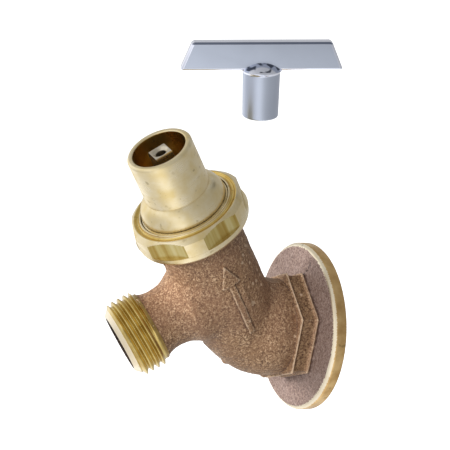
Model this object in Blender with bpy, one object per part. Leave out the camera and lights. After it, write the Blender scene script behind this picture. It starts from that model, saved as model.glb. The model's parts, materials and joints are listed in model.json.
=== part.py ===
"""Lockshield hose bib with its loose tee key.

Origin at the centre of the wall flange's back face, +Z up, -Y straight out of the wall, X across.
The bonnet's axis rises away from the wall and the hose outlet's axis drops away from it. They cross
at a right angle inside the body, at the crossing point. Sizes are written in millimetres and become
metres when a mesh is made.

Three local frames share world X: along the inlet (z = depth from the wall), along the bonnet
(z = height above the crossing point) and along the outlet (z = distance from the crossing point).
Turned shapes are half sections of (radius, z) points in one of those frames.
"""

import math

import bmesh
import bpy
from mathutils import Matrix, Vector

MM = 0.001
GAP = 0.3
CLEAR = 2.0
STEP = 0.2
SEGMENTS = 32
FINE_SEGMENTS = 28
SMALL_SEGMENTS = 20

# Layout
CROSSING_Y = -36.56
CROSSING_Z = 15.81
BONNET_LEAN = 34.0
OUTLET_LEAN = 90.0 + BONNET_LEAN

# Wall flange, wrench hexagon and inlet
FLANGE_RADIUS = 29.1
FLANGE_THICKNESS = 4.9
FLANGE_CHAMFER = 1.2
HEX_CORNER_RADIUS = 19.4
HEX_TURN = 5.5
HEX_END = 12.3
HEX_ROOT = 3.9
BARREL = (
    (16.4, FLANGE_THICKNESS),
    (16.6, 12.0),
    (17.0, 16.0),
    (16.6, 19.5),
    (15.3, 23.2),
    (13.3, 27.0),
    (10.0, 31.0),
    (5.6, 34.3),
    (0.0, 36.0),
)
INLET_ROOT = 9.3
INLET_CREST = 10.4
INLET_PITCH = 25.4 / 14
INLET_CREST_SHARE = 0.2
INLET_FLANK_SHARE = 0.36
INLET_THREAD_START = 1.6
INLET_THREAD_DEPTH = 13.0
INLET_MOUTH_RADIUS = 10.6
INLET_MOUTH_DEPTH = 0.6
INLET_PASSAGE_RADIUS = 8.6
INLET_PASSAGE_END = 20.0

# Chamber and seat, heights along the bonnet axis
CHAMBER_RADIUS = 11.6
DECK_TOP = -9.0
DECK_BOTTOM = -14.0
DECK_HOLE = 7.7
LOWER_CHAMBER = ((0.0, -27.0), (5.0, -26.0), (7.8, -23.0), (9.0, -19.0), (9.0, DECK_BOTTOM))
CHAMBER_CHAMFER = (1.0, 1.5)
SEAT_LIP = -8.2
SEAT_LIP_WIDTH = 0.8
SEAT_HOLE = 5.4
SEAT_CHAMFER = 0.6
SEAT_FLANGE = 1.5
SEAT_FLANGE_HEIGHT = 0.2

# Globe, neck and collar
NECK_RADIUS = 14.45
GLOBE = (
    (0.0, -37.0),
    (5.6, -34.5),
    (9.4, -29.5),
    (11.9, -24.0),
    (13.4, -19.0),
    (NECK_RADIUS, -12.0),
)
COLLAR_RADIUS = 15.9
COLLAR_START = 27.6
COLLAR_SLOPE = 1.2
NECK_TOP = 30.8

# Hose outlet, a 3/4-11.5 garden hose thread
THROAT = (
    (0.0, -4.0),
    (14.0, -4.0),
    (13.9, 13.4),
    (12.0, 15.8),
    (10.7, 18.6),
    (10.5, 22.0),
    (10.9, 25.4),
    (12.0, 27.5),
    (0.0, 28.4),
)
OUTLET_PASSAGE = 7.9
HOSE_CREST = 13.49
HOSE_ROOT = 12.2
HOSE_PITCH = 25.4 / 11.5
HOSE_START = 27.6
HOSE_END = 39.3
HOSE_ROOT_START = 27.0
HOSE_CREST_SHARE = 0.16
HOSE_FLANK_SHARE = 0.34
HOSE_BORE = 9.65
HOSE_BORE_START = 29.0
MOUTH_CHAMFER = 0.6

# Bonnet nut
NUT_BOTTOM = 26.3
NUT_TOP = 36.1
NUT_RADIUS = 19.7
NUT_FLAT = 18.5
NUT_FLAT_START = 28.8
NUT_FLAT_END = 34.3
NUT_SHOULDER_RADIUS = 18.0
NUT_RIM_RADIUS = 15.6
NUT_CHAMFER = 0.8
NUT_TURN = 15.0
NUT_SIDES = 6

# Bonnet with its shield
BONNET_FLANGE_BOTTOM = 31.4
BONNET_FLANGE_TOP = 33.4
GASKET_GAP = 0.1
FOOT_RADIUS = 14.9
FOOT_TOP = 36.35
TUBE_START = 43.2
TUBE_FOOT_RADIUS = 9.0
BELL_END = 68.0
BELL_STEPS = 5
TUBE_RADIUS = 11.0
SHIELD_RIM = 59.9
SHIELD_CHAMFER = 0.6
SHIELD_BORE = 9.0
BOSS_RADIUS = 11.3
BOSS_THREAD_TOP = 22.0
TAP_RUNOUT = 3.0
BOSS_BOTTOM = 12.0
PACKING_FLOOR = 32.1
PACKING_WEB = 2.0
PACKING_RADIUS = 6.9
PACKING_TOP = 38.2
PACKING_NUT_BORE = 8.6
PACKING_NUT_BORE_TOP = 43.4
PACKING_WASHER_THICKNESS = 0.8
PACKING_RING_THICKNESS = 1.5
GLAND_FLANGE = 1.0
PACKING_NUT_HEIGHT = 3.2
PACKING_SLOT_WIDTH = 2.0
PACKING_SLOT_DEPTH = 1.4

# Stem, drawn fully open
STEM_PITCH = 2.54
STEM_CREST = 6.2
STEM_ROOT = 4.95
STEM_THREAD_START = 12.0
STEM_THREAD_END = 29.7
STEM_FLANK_SHARE = 0.13
STEM_CREST_SHARE = 0.37
TAP_CREST_SHARE = 0.61
BUTTON_RADIUS = 2.9
BUTTON_HEIGHT = 1.9
BUTTON_LIFT = 6.6
STEM_NECK_RADIUS = 1.95
STEM_NECK_TOP = 4.6
SHANK_RADIUS = 4.76
SHANK_CHAMFER = 0.4
SHANK_TOP = 49.0
STEM_TOP = 58.6
SQUARE = 6.35
SQUARE_TURN = 4.5
STEM_HOLE_RADIUS = 1.9
STEM_HOLE_DEPTH = 8.0
LIFT = 3 * STEM_PITCH

# Washer, its cup, its screw and the ring that holds the stem's button, heights above the washer
WASHER_BOTTOM = SEAT_LIP + GAP + LIFT
WASHER_THICKNESS = 3.0
WASHER_RADIUS = 7.2
WASHER_HOLE = 2.4
CUP_RADIUS = 8.4
CUP_LIP = 0.9
CUP_SHOULDER = 5.0
CUP_SLOPE = 7.6
SOCKET_RADIUS = 5.2
SOCKET_BASE = 6.2
SOCKET_TOP = 11.0
BUTTON_BORE = 3.2
RING_GROOVE_RADIUS = 4.2
RING_GROOVE = (8.7, 9.9)
SCREW_HOLE = 2.2
SCREW_RADIUS = 1.9
SCREW_LENGTH = 6.4
SCREW_HEAD_RADIUS = 3.4
SCREW_HEAD_HEIGHT = 1.8
SCREW_SLOT_WIDTH = 0.9
SCREW_SLOT_DEPTH = 0.9
RING_LIFT = 9.0
RING_RADIUS = 3.9
RING_HOLE = 2.3
RING_THICKNESS = 0.6
RING_SPLIT = 1.2

# Tee key
KEY_BAR_BOTTOM = 52.6
KEY_BAR_TOP = 44.8
KEY_BAR_HEIGHT = 9.3
KEY_BAR_THICKNESS = 4.3
KEY_BAR_BEVEL = 0.6
KEY_MOUTH_RADIUS = 5.85
KEY_MOUTH_ROUND = 0.4
KEY_NECK_RADIUS = 6.05
KEY_LIP_RADIUS = 6.6
KEY_LIP_HEIGHT = 0.8
KEY_SOCKET_LENGTH = 15.9
KEY_DOME_HEIGHT = 2.8
KEY_SOCKET_DEPTH = 13.0
KEY_SQUARE = 6.65
KEY_READY_HEIGHT = 63.2
KEY_READY_TURN = SQUARE_TURN + 90.0
KEY_TILT_X = 9.4
KEY_TILT_Y = -5.5
KEY_HEADING = 72.4
KEY_OFFSET = (-3.6, 36.702, 8.765)


def material(name, colour, roughness, metallic=1.0):
    """A plain Principled material, shared by the pieces made of the same stuff."""
    found = bpy.data.materials.get(name) or bpy.data.materials.new(name)
    found.use_nodes = True
    shader = found.node_tree.nodes["Principled BSDF"]
    shader.inputs["Base Color"].default_value = (*colour, 1.0)
    shader.inputs["Roughness"].default_value = roughness
    shader.inputs["Metallic"].default_value = metallic
    found.diffuse_color = (*colour, 1.0)
    return found


def axis_frame(name, y, z, lean):
    """An empty whose local Z leans back from vertical, turned about world X, by lean degrees."""
    empty = bpy.data.objects.new(name, None)
    empty.location = (0.0, y * MM, z * MM)
    empty.rotation_euler = (math.radians(lean), 0.0, 0.0)
    bpy.context.scene.collection.objects.link(empty)
    return empty


def place(name, bm, parent, finish=None, cutter=False):
    """Turns a bmesh in millimetres into an object in its parent's frame, faces out, shaded smooth."""
    bmesh.ops.recalc_face_normals(bm, faces=bm.faces)
    mesh = bpy.data.meshes.new(name)
    bm.to_mesh(mesh)
    bm.free()
    mesh.transform(Matrix.Scale(MM, 4))
    mesh.shade_smooth()
    mesh.set_sharp_from_angle(angle=math.radians(30))
    if finish:
        mesh.materials.append(finish)
    obj = bpy.data.objects.new(name, mesh)
    obj.parent = parent
    bpy.context.scene.collection.objects.link(obj)
    if cutter:
        obj.hide_render = True
        obj.display_type = "WIRE"
    return obj


def turned_mesh(section, segments=SEGMENTS):
    """A half section of (radius, z) points, in order round its outline, spun about Z."""
    bm = bmesh.new()
    verts = [bm.verts.new((r, 0.0, z)) for r, z in section]
    closed = section[0][0] > 0.0 or section[-1][0] > 0.0
    edges = [bm.edges.new(pair) for pair in zip(verts, verts[1:])]
    if closed:
        edges.append(bm.edges.new((verts[-1], verts[0])))
    bmesh.ops.spin(
        bm,
        geom=verts + edges,
        cent=(0.0, 0.0, 0.0),
        axis=(0.0, 0.0, 1.0),
        dvec=(0.0, 0.0, 0.0),
        angle=math.tau,
        steps=segments,
        use_merge=True,
    )
    bmesh.ops.remove_doubles(bm, verts=bm.verts, dist=0.001)
    bmesh.ops.dissolve_limit(bm, angle_limit=math.radians(0.1), verts=bm.verts, edges=bm.edges)
    return bm


def turned(name, section, parent, finish=None, segments=SEGMENTS, cutter=False):
    return place(name, turned_mesh(section, segments), parent, finish, cutter)


def thread_radius(z, shape, start, end, runout):
    """Radius of a thread corner at height z: full inside, down to the root at both ends."""
    root, radius = shape
    share = min(1.0, max(0.0, min(z - start, end - z) / runout))
    return root + (radius - root) * share


def threaded_mesh(below, above, root, crest, pitch, start, end, crest_share, flank_share,
                  segments=SMALL_SEGMENTS, runout=1.2):
    """A turned solid with a right-hand thread between start and end.

    below and above are the (radius, z) points before and after the threaded length. The grid's rows
    follow the thread's own corners up the helix, so a full turn climbs exactly one pitch and the
    seam closes on itself. Rows past the ends are held at the ends, where they merge into rings.
    """
    corners = [
        (0.5 - crest_share / 2 - flank_share, root),
        (0.5 - crest_share / 2, crest),
        (0.5 + crest_share / 2, crest),
        (0.5 + crest_share / 2 + flank_share, root),
    ]
    first = math.floor(start / pitch) - 2
    last = math.ceil(end / pitch) + 1
    rows = []
    for r, z in [*below, (root, start)]:
        rows.append([(r, z)] * (segments + 1))
    helix = []
    for turn in range(first, last + 1):
        for share, radius in corners:
            row = []
            for j in range(segments + 1):
                z = pitch * (turn + share + j / segments)
                held = min(end, max(start, z))
                row.append((thread_radius(held, (root, radius), start, end, runout), held))
            helix.append(row)
    bm = bmesh.new()

    def ring(points):
        made = []
        for j in range(segments):
            angle = math.tau * j / segments
            r, z = points[j]
            made.append(bm.verts.new((r * math.cos(angle), r * math.sin(angle), z)))
        return made

    def strip(low, high):
        for j in range(segments):
            k = (j + 1) % segments
            bm.faces.new((low[j], low[k], high[k], high[j]))

    plain = [ring(row) for row in rows]
    for low, high in zip(plain, plain[1:]):
        strip(low, high)
    grid = [ring(row) for row in helix]
    step = len(corners)
    for i in range(len(grid) - step - 1):
        low, high = grid[i], grid[i + 1]
        for j in range(segments - 1):
            bm.faces.new((low[j], low[j + 1], high[j + 1], high[j]))
        bm.faces.new((low[-1], grid[i + step][0], grid[i + step + 1][0], high[-1]))
    top = [ring([(r, z)] * segments) for r, z in [(root, end), *above]]
    for low, high in zip(top, top[1:]):
        strip(low, high)
    bmesh.ops.remove_doubles(bm, verts=bm.verts, dist=0.03)
    bmesh.ops.dissolve_degenerate(bm, dist=0.001, edges=bm.edges)
    bmesh.ops.dissolve_limit(bm, angle_limit=math.radians(0.1), verts=bm.verts, edges=bm.edges)
    return bm


def combine(target, other, operation):
    """Adds a Boolean with an object that is itself left out of the finished model."""
    other.hide_render = True
    other.display_type = "WIRE"
    modifier = target.modifiers.new(other.name, "BOOLEAN")
    modifier.operation = operation
    modifier.solver = "EXACT"
    modifier.object = other


def prism_mesh(corner_radius, sides, low, high, turn=0.0):
    """An upright prism with its corners on a circle."""
    bm = bmesh.new()
    bmesh.ops.create_cone(
        bm,
        cap_ends=True,
        segments=sides,
        radius1=corner_radius,
        radius2=corner_radius,
        depth=high - low,
        matrix=Matrix.Translation((0.0, 0.0, (low + high) / 2))
        @ Matrix.Rotation(math.radians(turn), 4, "Z"),
    )
    return bm


def block(centre, size, turn=0.0):
    """A box, turned about Z after it is placed."""
    bm = bmesh.new()
    shape = Matrix.Translation(centre) @ Matrix.Diagonal((*size, 1.0))
    bmesh.ops.create_cube(bm, size=1.0, matrix=Matrix.Rotation(math.radians(turn), 4, "Z") @ shape)
    return bm


def arc(centre_r, centre_z, radius, start, end, steps):
    """Points of an arc in a half section, angles in degrees from +r towards +z."""
    turns = [math.radians(start + (end - start) * i / steps) for i in range(steps + 1)]
    return [(centre_r + radius * math.cos(t), centre_z + radius * math.sin(t)) for t in turns]


def valve_body(inlet, bonnet, outlet, bronze):
    """The one-piece casting: flange, hexagon, globe, neck and threaded hose outlet."""
    body = turned(
        "valve_body",
        [
            (0.0, 0.0),
            (FLANGE_RADIUS, 0.0),
            (FLANGE_RADIUS, FLANGE_THICKNESS - FLANGE_CHAMFER),
            (FLANGE_RADIUS - FLANGE_CHAMFER, FLANGE_THICKNESS),
            *BARREL,
        ],
        inlet,
        bronze,
    )
    hexagon = place(
        "hexagon", prism_mesh(HEX_CORNER_RADIUS, 6, HEX_ROOT, HEX_END, HEX_TURN), inlet
    )
    globe = turned(
        "globe",
        [
            *GLOBE,
            (NECK_RADIUS, COLLAR_START - COLLAR_SLOPE),
            (COLLAR_RADIUS, COLLAR_START),
            (COLLAR_RADIUS, NECK_TOP),
            (0.0, NECK_TOP),
        ],
        bonnet,
    )
    throat = turned("throat", THROAT, outlet)
    hose_mesh = threaded_mesh(
        [(0.0, HOSE_ROOT_START), (HOSE_ROOT, HOSE_ROOT_START)],
        [(0.0, HOSE_END)],
        HOSE_ROOT, HOSE_CREST, HOSE_PITCH, HOSE_START, HOSE_END,
        HOSE_CREST_SHARE, HOSE_FLANK_SHARE, FINE_SEGMENTS,
    )
    hose_thread = place("hose_thread", hose_mesh, outlet)
    for piece in (globe, hexagon, throat, hose_thread):
        combine(body, piece, "UNION")
    for cutter in body_cutters(inlet, bonnet, outlet):
        combine(body, cutter, "DIFFERENCE")
    return body


def body_cutters(inlet, bonnet, outlet):
    """The waterway: threaded inlet, lower chamber, seat hole, upper chamber and outlet bore."""
    inlet_mesh = threaded_mesh(
        [(0.0, -CLEAR), (INLET_MOUTH_RADIUS, -CLEAR), (INLET_MOUTH_RADIUS, INLET_MOUTH_DEPTH)],
        [(INLET_PASSAGE_RADIUS, INLET_THREAD_DEPTH + INLET_MOUTH_DEPTH),
         (INLET_PASSAGE_RADIUS, INLET_PASSAGE_END), (0.0, INLET_PASSAGE_END)],
        INLET_ROOT, INLET_CREST, INLET_PITCH, INLET_THREAD_START, INLET_THREAD_DEPTH,
        INLET_CREST_SHARE, INLET_FLANK_SHARE,
    )
    chambers = [
        *LOWER_CHAMBER,
        (DECK_HOLE, DECK_BOTTOM),
        (DECK_HOLE, DECK_TOP),
        (CHAMBER_RADIUS - CHAMBER_CHAMFER[0], DECK_TOP),
        (CHAMBER_RADIUS, DECK_TOP + CHAMBER_CHAMFER[1]),
        (CHAMBER_RADIUS, NECK_TOP + CLEAR),
        (0.0, NECK_TOP + CLEAR),
    ]
    way_out = [
        (0.0, 0.0),
        (OUTLET_PASSAGE, 0.0),
        (OUTLET_PASSAGE, HOSE_BORE_START - 1.0),
        (HOSE_BORE, HOSE_BORE_START),
        (HOSE_BORE, HOSE_END - MOUTH_CHAMFER),
        (HOSE_BORE + 2 * MOUTH_CHAMFER, HOSE_END + MOUTH_CHAMFER),
        (HOSE_BORE + 2 * MOUTH_CHAMFER, HOSE_END + CLEAR),
        (0.0, HOSE_END + CLEAR),
    ]
    return [
        place("inlet_cutter", inlet_mesh, inlet, cutter=True),
        turned("chamber_cutter", chambers, bonnet, segments=FINE_SEGMENTS, cutter=True),
        turned("outlet_cutter", way_out, outlet, segments=FINE_SEGMENTS, cutter=True),
    ]


def seat_ring(bonnet, brass):
    outer = DECK_HOLE - GAP
    section = [
        (SEAT_HOLE, DECK_BOTTOM),
        (outer, DECK_BOTTOM),
        (outer, DECK_TOP + GAP),
        (outer + SEAT_FLANGE, DECK_TOP + GAP),
        (outer + SEAT_FLANGE, DECK_TOP + GAP + SEAT_FLANGE_HEIGHT),
        (SEAT_HOLE + SEAT_CHAMFER + SEAT_LIP_WIDTH, SEAT_LIP),
        (SEAT_HOLE + SEAT_CHAMFER, SEAT_LIP),
        (SEAT_HOLE, SEAT_LIP - SEAT_CHAMFER),
    ]
    return turned("seat_ring", section, bonnet, brass, FINE_SEGMENTS)


def seat_washer(bonnet, rubber):
    top = WASHER_BOTTOM + WASHER_THICKNESS
    section = [
        (WASHER_HOLE, WASHER_BOTTOM), (WASHER_RADIUS, WASHER_BOTTOM), (WASHER_RADIUS, top),
        (WASHER_HOLE, top),
    ]
    return turned("seat_washer", section, bonnet, rubber, SMALL_SEGMENTS)


def washer_screw(bonnet, brass):
    """Round-head screw, slotted, that holds the washer in its cup."""
    head = WASHER_BOTTOM - GAP
    section = [
        (0.0, head - SCREW_HEAD_HEIGHT),
        (0.7 * SCREW_HEAD_RADIUS, head - 0.9 * SCREW_HEAD_HEIGHT),
        (SCREW_HEAD_RADIUS, head - 0.45 * SCREW_HEAD_HEIGHT),
        (SCREW_HEAD_RADIUS, head),
        (SCREW_RADIUS, head),
        (SCREW_RADIUS, head + SCREW_LENGTH),
        (0.0, head + SCREW_LENGTH),
    ]
    screw = turned("washer_screw", section, bonnet, brass, SMALL_SEGMENTS)
    bottom = head - SCREW_HEAD_HEIGHT
    slot = block((0.0, 0.0, bottom - CLEAR / 2 + SCREW_SLOT_DEPTH / 2),
                 (SCREW_SLOT_WIDTH, 3 * SCREW_HEAD_RADIUS, SCREW_SLOT_DEPTH + CLEAR))
    combine(screw, place("screw_slot", slot, bonnet, cutter=True), "DIFFERENCE")
    return screw


def disc_holder(bonnet, brass):
    """Cup for the washer, with a socket above it in which the stem's button turns."""
    low = WASHER_BOTTOM
    cup = low + WASHER_THICKNESS + GAP
    groove = [low + height for height in RING_GROOVE]
    section = [
        (SCREW_HOLE, cup),
        (WASHER_RADIUS + GAP, cup),
        (WASHER_RADIUS + GAP, low + CUP_LIP),
        (CUP_RADIUS, low + CUP_LIP),
        (CUP_RADIUS, low + CUP_SHOULDER),
        (CUP_SLOPE, low + (CUP_SHOULDER + SOCKET_BASE) / 2),
        (SOCKET_RADIUS, low + SOCKET_BASE),
        (SOCKET_RADIUS, low + SOCKET_TOP),
        (BUTTON_BORE, low + SOCKET_TOP),
        (BUTTON_BORE, groove[1]),
        (RING_GROOVE_RADIUS, groove[1]),
        (RING_GROOVE_RADIUS, groove[0]),
        (BUTTON_BORE, groove[0]),
        (BUTTON_BORE, low + SOCKET_BASE),
        (SCREW_HOLE, low + SOCKET_BASE),
    ]
    return turned("disc_holder", section, bonnet, brass, SMALL_SEGMENTS)


def retaining_ring(bonnet, steel):
    """Split spring ring in the holder's groove, round the stem's neck."""
    low = WASHER_BOTTOM + RING_LIFT
    high = low + RING_THICKNESS
    section = [(RING_HOLE, low), (RING_RADIUS, low), (RING_RADIUS, high), (RING_HOLE, high)]
    ring = turned("retaining_ring", section, bonnet, steel, SMALL_SEGMENTS)
    split = block((RING_RADIUS, 0.0, low), (RING_RADIUS, RING_SPLIT, 2 * CLEAR))
    combine(ring, place("ring_split", split, bonnet, cutter=True), "DIFFERENCE")
    return ring


def stem(bonnet, brass):
    """Button, neck, acme thread, round shank and the square that the key turns."""
    button = WASHER_BOTTOM + BUTTON_LIFT
    below = [
        (0.0, button),
        (BUTTON_RADIUS, button),
        (BUTTON_RADIUS, button + BUTTON_HEIGHT),
        (STEM_NECK_RADIUS, button + BUTTON_HEIGHT),
        (STEM_NECK_RADIUS, button + STEM_NECK_TOP),
        (STEM_ROOT, STEM_THREAD_START - STEP),
    ]
    above = [
        (SHANK_RADIUS, STEM_THREAD_END + STEP),
        (SHANK_RADIUS, STEM_TOP - SHANK_CHAMFER),
        (SHANK_RADIUS - SHANK_CHAMFER, STEM_TOP),
        (0.0, STEM_TOP),
    ]
    mesh = threaded_mesh(below, above, STEM_ROOT, STEM_CREST, STEM_PITCH, STEM_THREAD_START,
                         STEM_THREAD_END, STEM_CREST_SHARE, STEM_FLANK_SHARE)
    made = place("stem", mesh, bonnet, brass)
    around = [(0.0, SHANK_TOP), (2 * SHANK_RADIUS, SHANK_TOP), (2 * SHANK_RADIUS, STEM_TOP + CLEAR),
              (0.0, STEM_TOP + CLEAR)]
    flats = turned("flats", around, bonnet, segments=SMALL_SEGMENTS, cutter=True)
    prism = prism_mesh(SQUARE / math.sqrt(2), 4, SHANK_TOP - CLEAR, STEM_TOP + 2 * CLEAR,
                       45.0 + SQUARE_TURN)
    combine(flats, place("square", prism, bonnet), "DIFFERENCE")
    bottom = STEM_TOP - STEM_HOLE_DEPTH
    bore = [(0.0, bottom), (STEM_HOLE_RADIUS, bottom + STEM_HOLE_RADIUS / 2),
            (STEM_HOLE_RADIUS, STEM_TOP + CLEAR), (0.0, STEM_TOP + CLEAR)]
    hole = turned("stem_hole", bore, bonnet, segments=SMALL_SEGMENTS, cutter=True)
    combine(made, flats, "DIFFERENCE")
    combine(made, hole, "DIFFERENCE")
    return made


def bonnet_body(bonnet, brass):
    """Boss, clamped flange, bell and shield tube in one turned piece."""
    bell = [
        (
            TUBE_FOOT_RADIUS + (FOOT_RADIUS - STEP - TUBE_FOOT_RADIUS) * math.cos(turn),
            FOOT_TOP + (TUBE_START - FOOT_TOP) * math.sin(turn),
        )
        for turn in (math.radians(BELL_END * i / BELL_STEPS) for i in range(BELL_STEPS + 1))
    ]
    section = [
        (PACKING_RADIUS - 1.0, BOSS_BOTTOM),
        (BOSS_RADIUS, BOSS_BOTTOM),
        (BOSS_RADIUS, BONNET_FLANGE_BOTTOM),
        (COLLAR_RADIUS, BONNET_FLANGE_BOTTOM),
        (COLLAR_RADIUS, BONNET_FLANGE_TOP),
        (FOOT_RADIUS, BONNET_FLANGE_TOP),
        (FOOT_RADIUS, FOOT_TOP),
        *bell,
        (TUBE_RADIUS, TUBE_START),
        (TUBE_RADIUS, SHIELD_RIM - SHIELD_CHAMFER),
        (TUBE_RADIUS - SHIELD_CHAMFER, SHIELD_RIM),
        (SHIELD_BORE + SHIELD_CHAMFER, SHIELD_RIM),
        (SHIELD_BORE, SHIELD_RIM - SHIELD_CHAMFER),
        (SHIELD_BORE, PACKING_NUT_BORE_TOP),
        (PACKING_NUT_BORE, PACKING_NUT_BORE_TOP),
        (PACKING_NUT_BORE, PACKING_TOP),
        (PACKING_RADIUS, PACKING_TOP),
        (PACKING_RADIUS, PACKING_FLOOR),
        (SHANK_RADIUS + GAP, PACKING_FLOOR),
        (SHANK_RADIUS + GAP, PACKING_FLOOR - PACKING_WEB),
        (PACKING_RADIUS, PACKING_FLOOR - PACKING_WEB - STEP),
        (PACKING_RADIUS, BOSS_THREAD_TOP),
        (STEM_ROOT + GAP, BOSS_THREAD_TOP),
        (STEM_ROOT + GAP, BOSS_BOTTOM + 1.0),
    ]
    made = turned("bonnet", section, bonnet, brass)
    start, end = BOSS_BOTTOM - TAP_RUNOUT, BOSS_THREAD_TOP + CLEAR
    tap = threaded_mesh(
        [(0.0, start)],
        [(0.0, end)],
        STEM_ROOT + GAP, STEM_CREST + GAP, STEM_PITCH, start, end, TAP_CREST_SHARE, STEM_FLANK_SHARE,
    )
    combine(made, place("bonnet_tap", tap, bonnet, cutter=True), "DIFFERENCE")
    return made


def bonnet_nut(bonnet, brass):
    """Union nut: a round ring with milled wrench flats that clamps the bonnet onto the neck."""
    bore = COLLAR_RADIUS + GAP
    section = [
        (bore + NUT_CHAMFER, NUT_BOTTOM),
        (NUT_RADIUS - NUT_CHAMFER, NUT_BOTTOM),
        (NUT_RADIUS, NUT_BOTTOM + NUT_CHAMFER),
        (NUT_RADIUS, NUT_FLAT_END),
        (NUT_SHOULDER_RADIUS, NUT_TOP - GAP),
        (NUT_RIM_RADIUS, NUT_TOP),
        (FOOT_RADIUS + GAP, NUT_TOP),
        (FOOT_RADIUS + GAP, BONNET_FLANGE_TOP + GAP),
        (bore, BONNET_FLANGE_TOP + GAP),
        (bore, NUT_BOTTOM + NUT_CHAMFER),
    ]
    made = turned("bonnet_nut", section, bonnet, brass)
    width = NUT_TOP - NUT_FLAT_START + CLEAR
    for side in range(NUT_SIDES):
        mill = block((NUT_FLAT + CLEAR, 0.0, NUT_FLAT_START + width / 2),
                     (2 * CLEAR, NUT_RADIUS, width), NUT_TURN + 360.0 * side / NUT_SIDES)
        combine(made, place(f"nut_mill_{side}", mill, bonnet, cutter=True), "DIFFERENCE")
    return made


def packing_pieces(bonnet, brass, graphite):
    """Washer, two rings and gland in the packing box, and the slotted nut that presses on them."""
    hole = SHANK_RADIUS + GAP
    outer = PACKING_RADIUS - GAP

    def ring(name, low, high, finish):
        return turned(name, [(hole, low), (outer, low), (outer, high), (hole, high)], bonnet, finish,
                      SMALL_SEGMENTS)

    top = PACKING_FLOOR + GAP + PACKING_WASHER_THICKNESS
    ring("packing_washer", PACKING_FLOOR + GAP, top, brass)
    for name in ("packing_ring_lower", "packing_ring_upper"):
        low = top + GAP
        top = low + PACKING_RING_THICKNESS
        ring(name, low, top, graphite)
    wide = PACKING_NUT_BORE - GAP
    gland_top = PACKING_TOP + GAP + GLAND_FLANGE
    gland = [
        (hole, top + GAP),
        (outer, top + GAP),
        (outer, PACKING_TOP + GAP),
        (wide, PACKING_TOP + GAP),
        (wide, gland_top),
        (hole, gland_top),
    ]
    turned("packing_gland", gland, bonnet, brass, SMALL_SEGMENTS)
    low = gland_top + GAP
    high = low + PACKING_NUT_HEIGHT
    section = [(hole + GAP, low), (wide, low), (wide, high), (hole + GAP, high)]
    nut = turned("packing_nut", section, bonnet, brass, SMALL_SEGMENTS)
    slots = block((0.0, 0.0, high + (CLEAR - PACKING_SLOT_DEPTH) / 2),
                  (PACKING_SLOT_WIDTH, 3 * wide, CLEAR + PACKING_SLOT_DEPTH))
    combine(nut, place("nut_slots", slots, bonnet, cutter=True), "DIFFERENCE")


def bonnet_gasket(bonnet, fibre):
    low = NECK_TOP + GASKET_GAP
    high = BONNET_FLANGE_BOTTOM - GASKET_GAP
    outer = COLLAR_RADIUS - GAP
    section = [(BOSS_RADIUS + GAP, low), (outer, low), (outer, high), (BOSS_RADIUS + GAP, high)]
    return turned("bonnet_gasket", section, bonnet, fibre, FINE_SEGMENTS)


def carry_turn(bonnet):
    """The one rotation that takes the key from its rest place to its ready place over the stem.

    Returns the rest pose, the turning axis and a point on it. The offset between the two places is
    stripped of its part along the axis, so that a plain hinge makes the whole move.
    """
    ready = bonnet.matrix_world @ Matrix.Translation((0.0, 0.0, KEY_READY_HEIGHT * MM))
    ready = ready @ Matrix.Rotation(math.radians(KEY_READY_TURN), 4, "Z")
    facing = Matrix.Rotation(math.radians(KEY_TILT_X), 3, "X") @ Matrix.Rotation(
        math.radians(KEY_TILT_Y), 3, "Y"
    )
    rest = facing @ Matrix.Rotation(math.radians(KEY_HEADING), 3, "Z")
    turn = ready.to_3x3() @ rest.transposed()
    axis, angle = turn.to_quaternion().to_axis_angle()
    offset = Vector(KEY_OFFSET) * MM
    offset -= axis * offset.dot(axis)
    here = ready.translation + offset
    halfway = (here + ready.translation) / 2
    pivot = halfway + axis.cross(ready.translation - here) / (2 * math.tan(angle / 2))
    return Matrix.Translation(here) @ rest.to_4x4(), axis, pivot, angle


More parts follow.
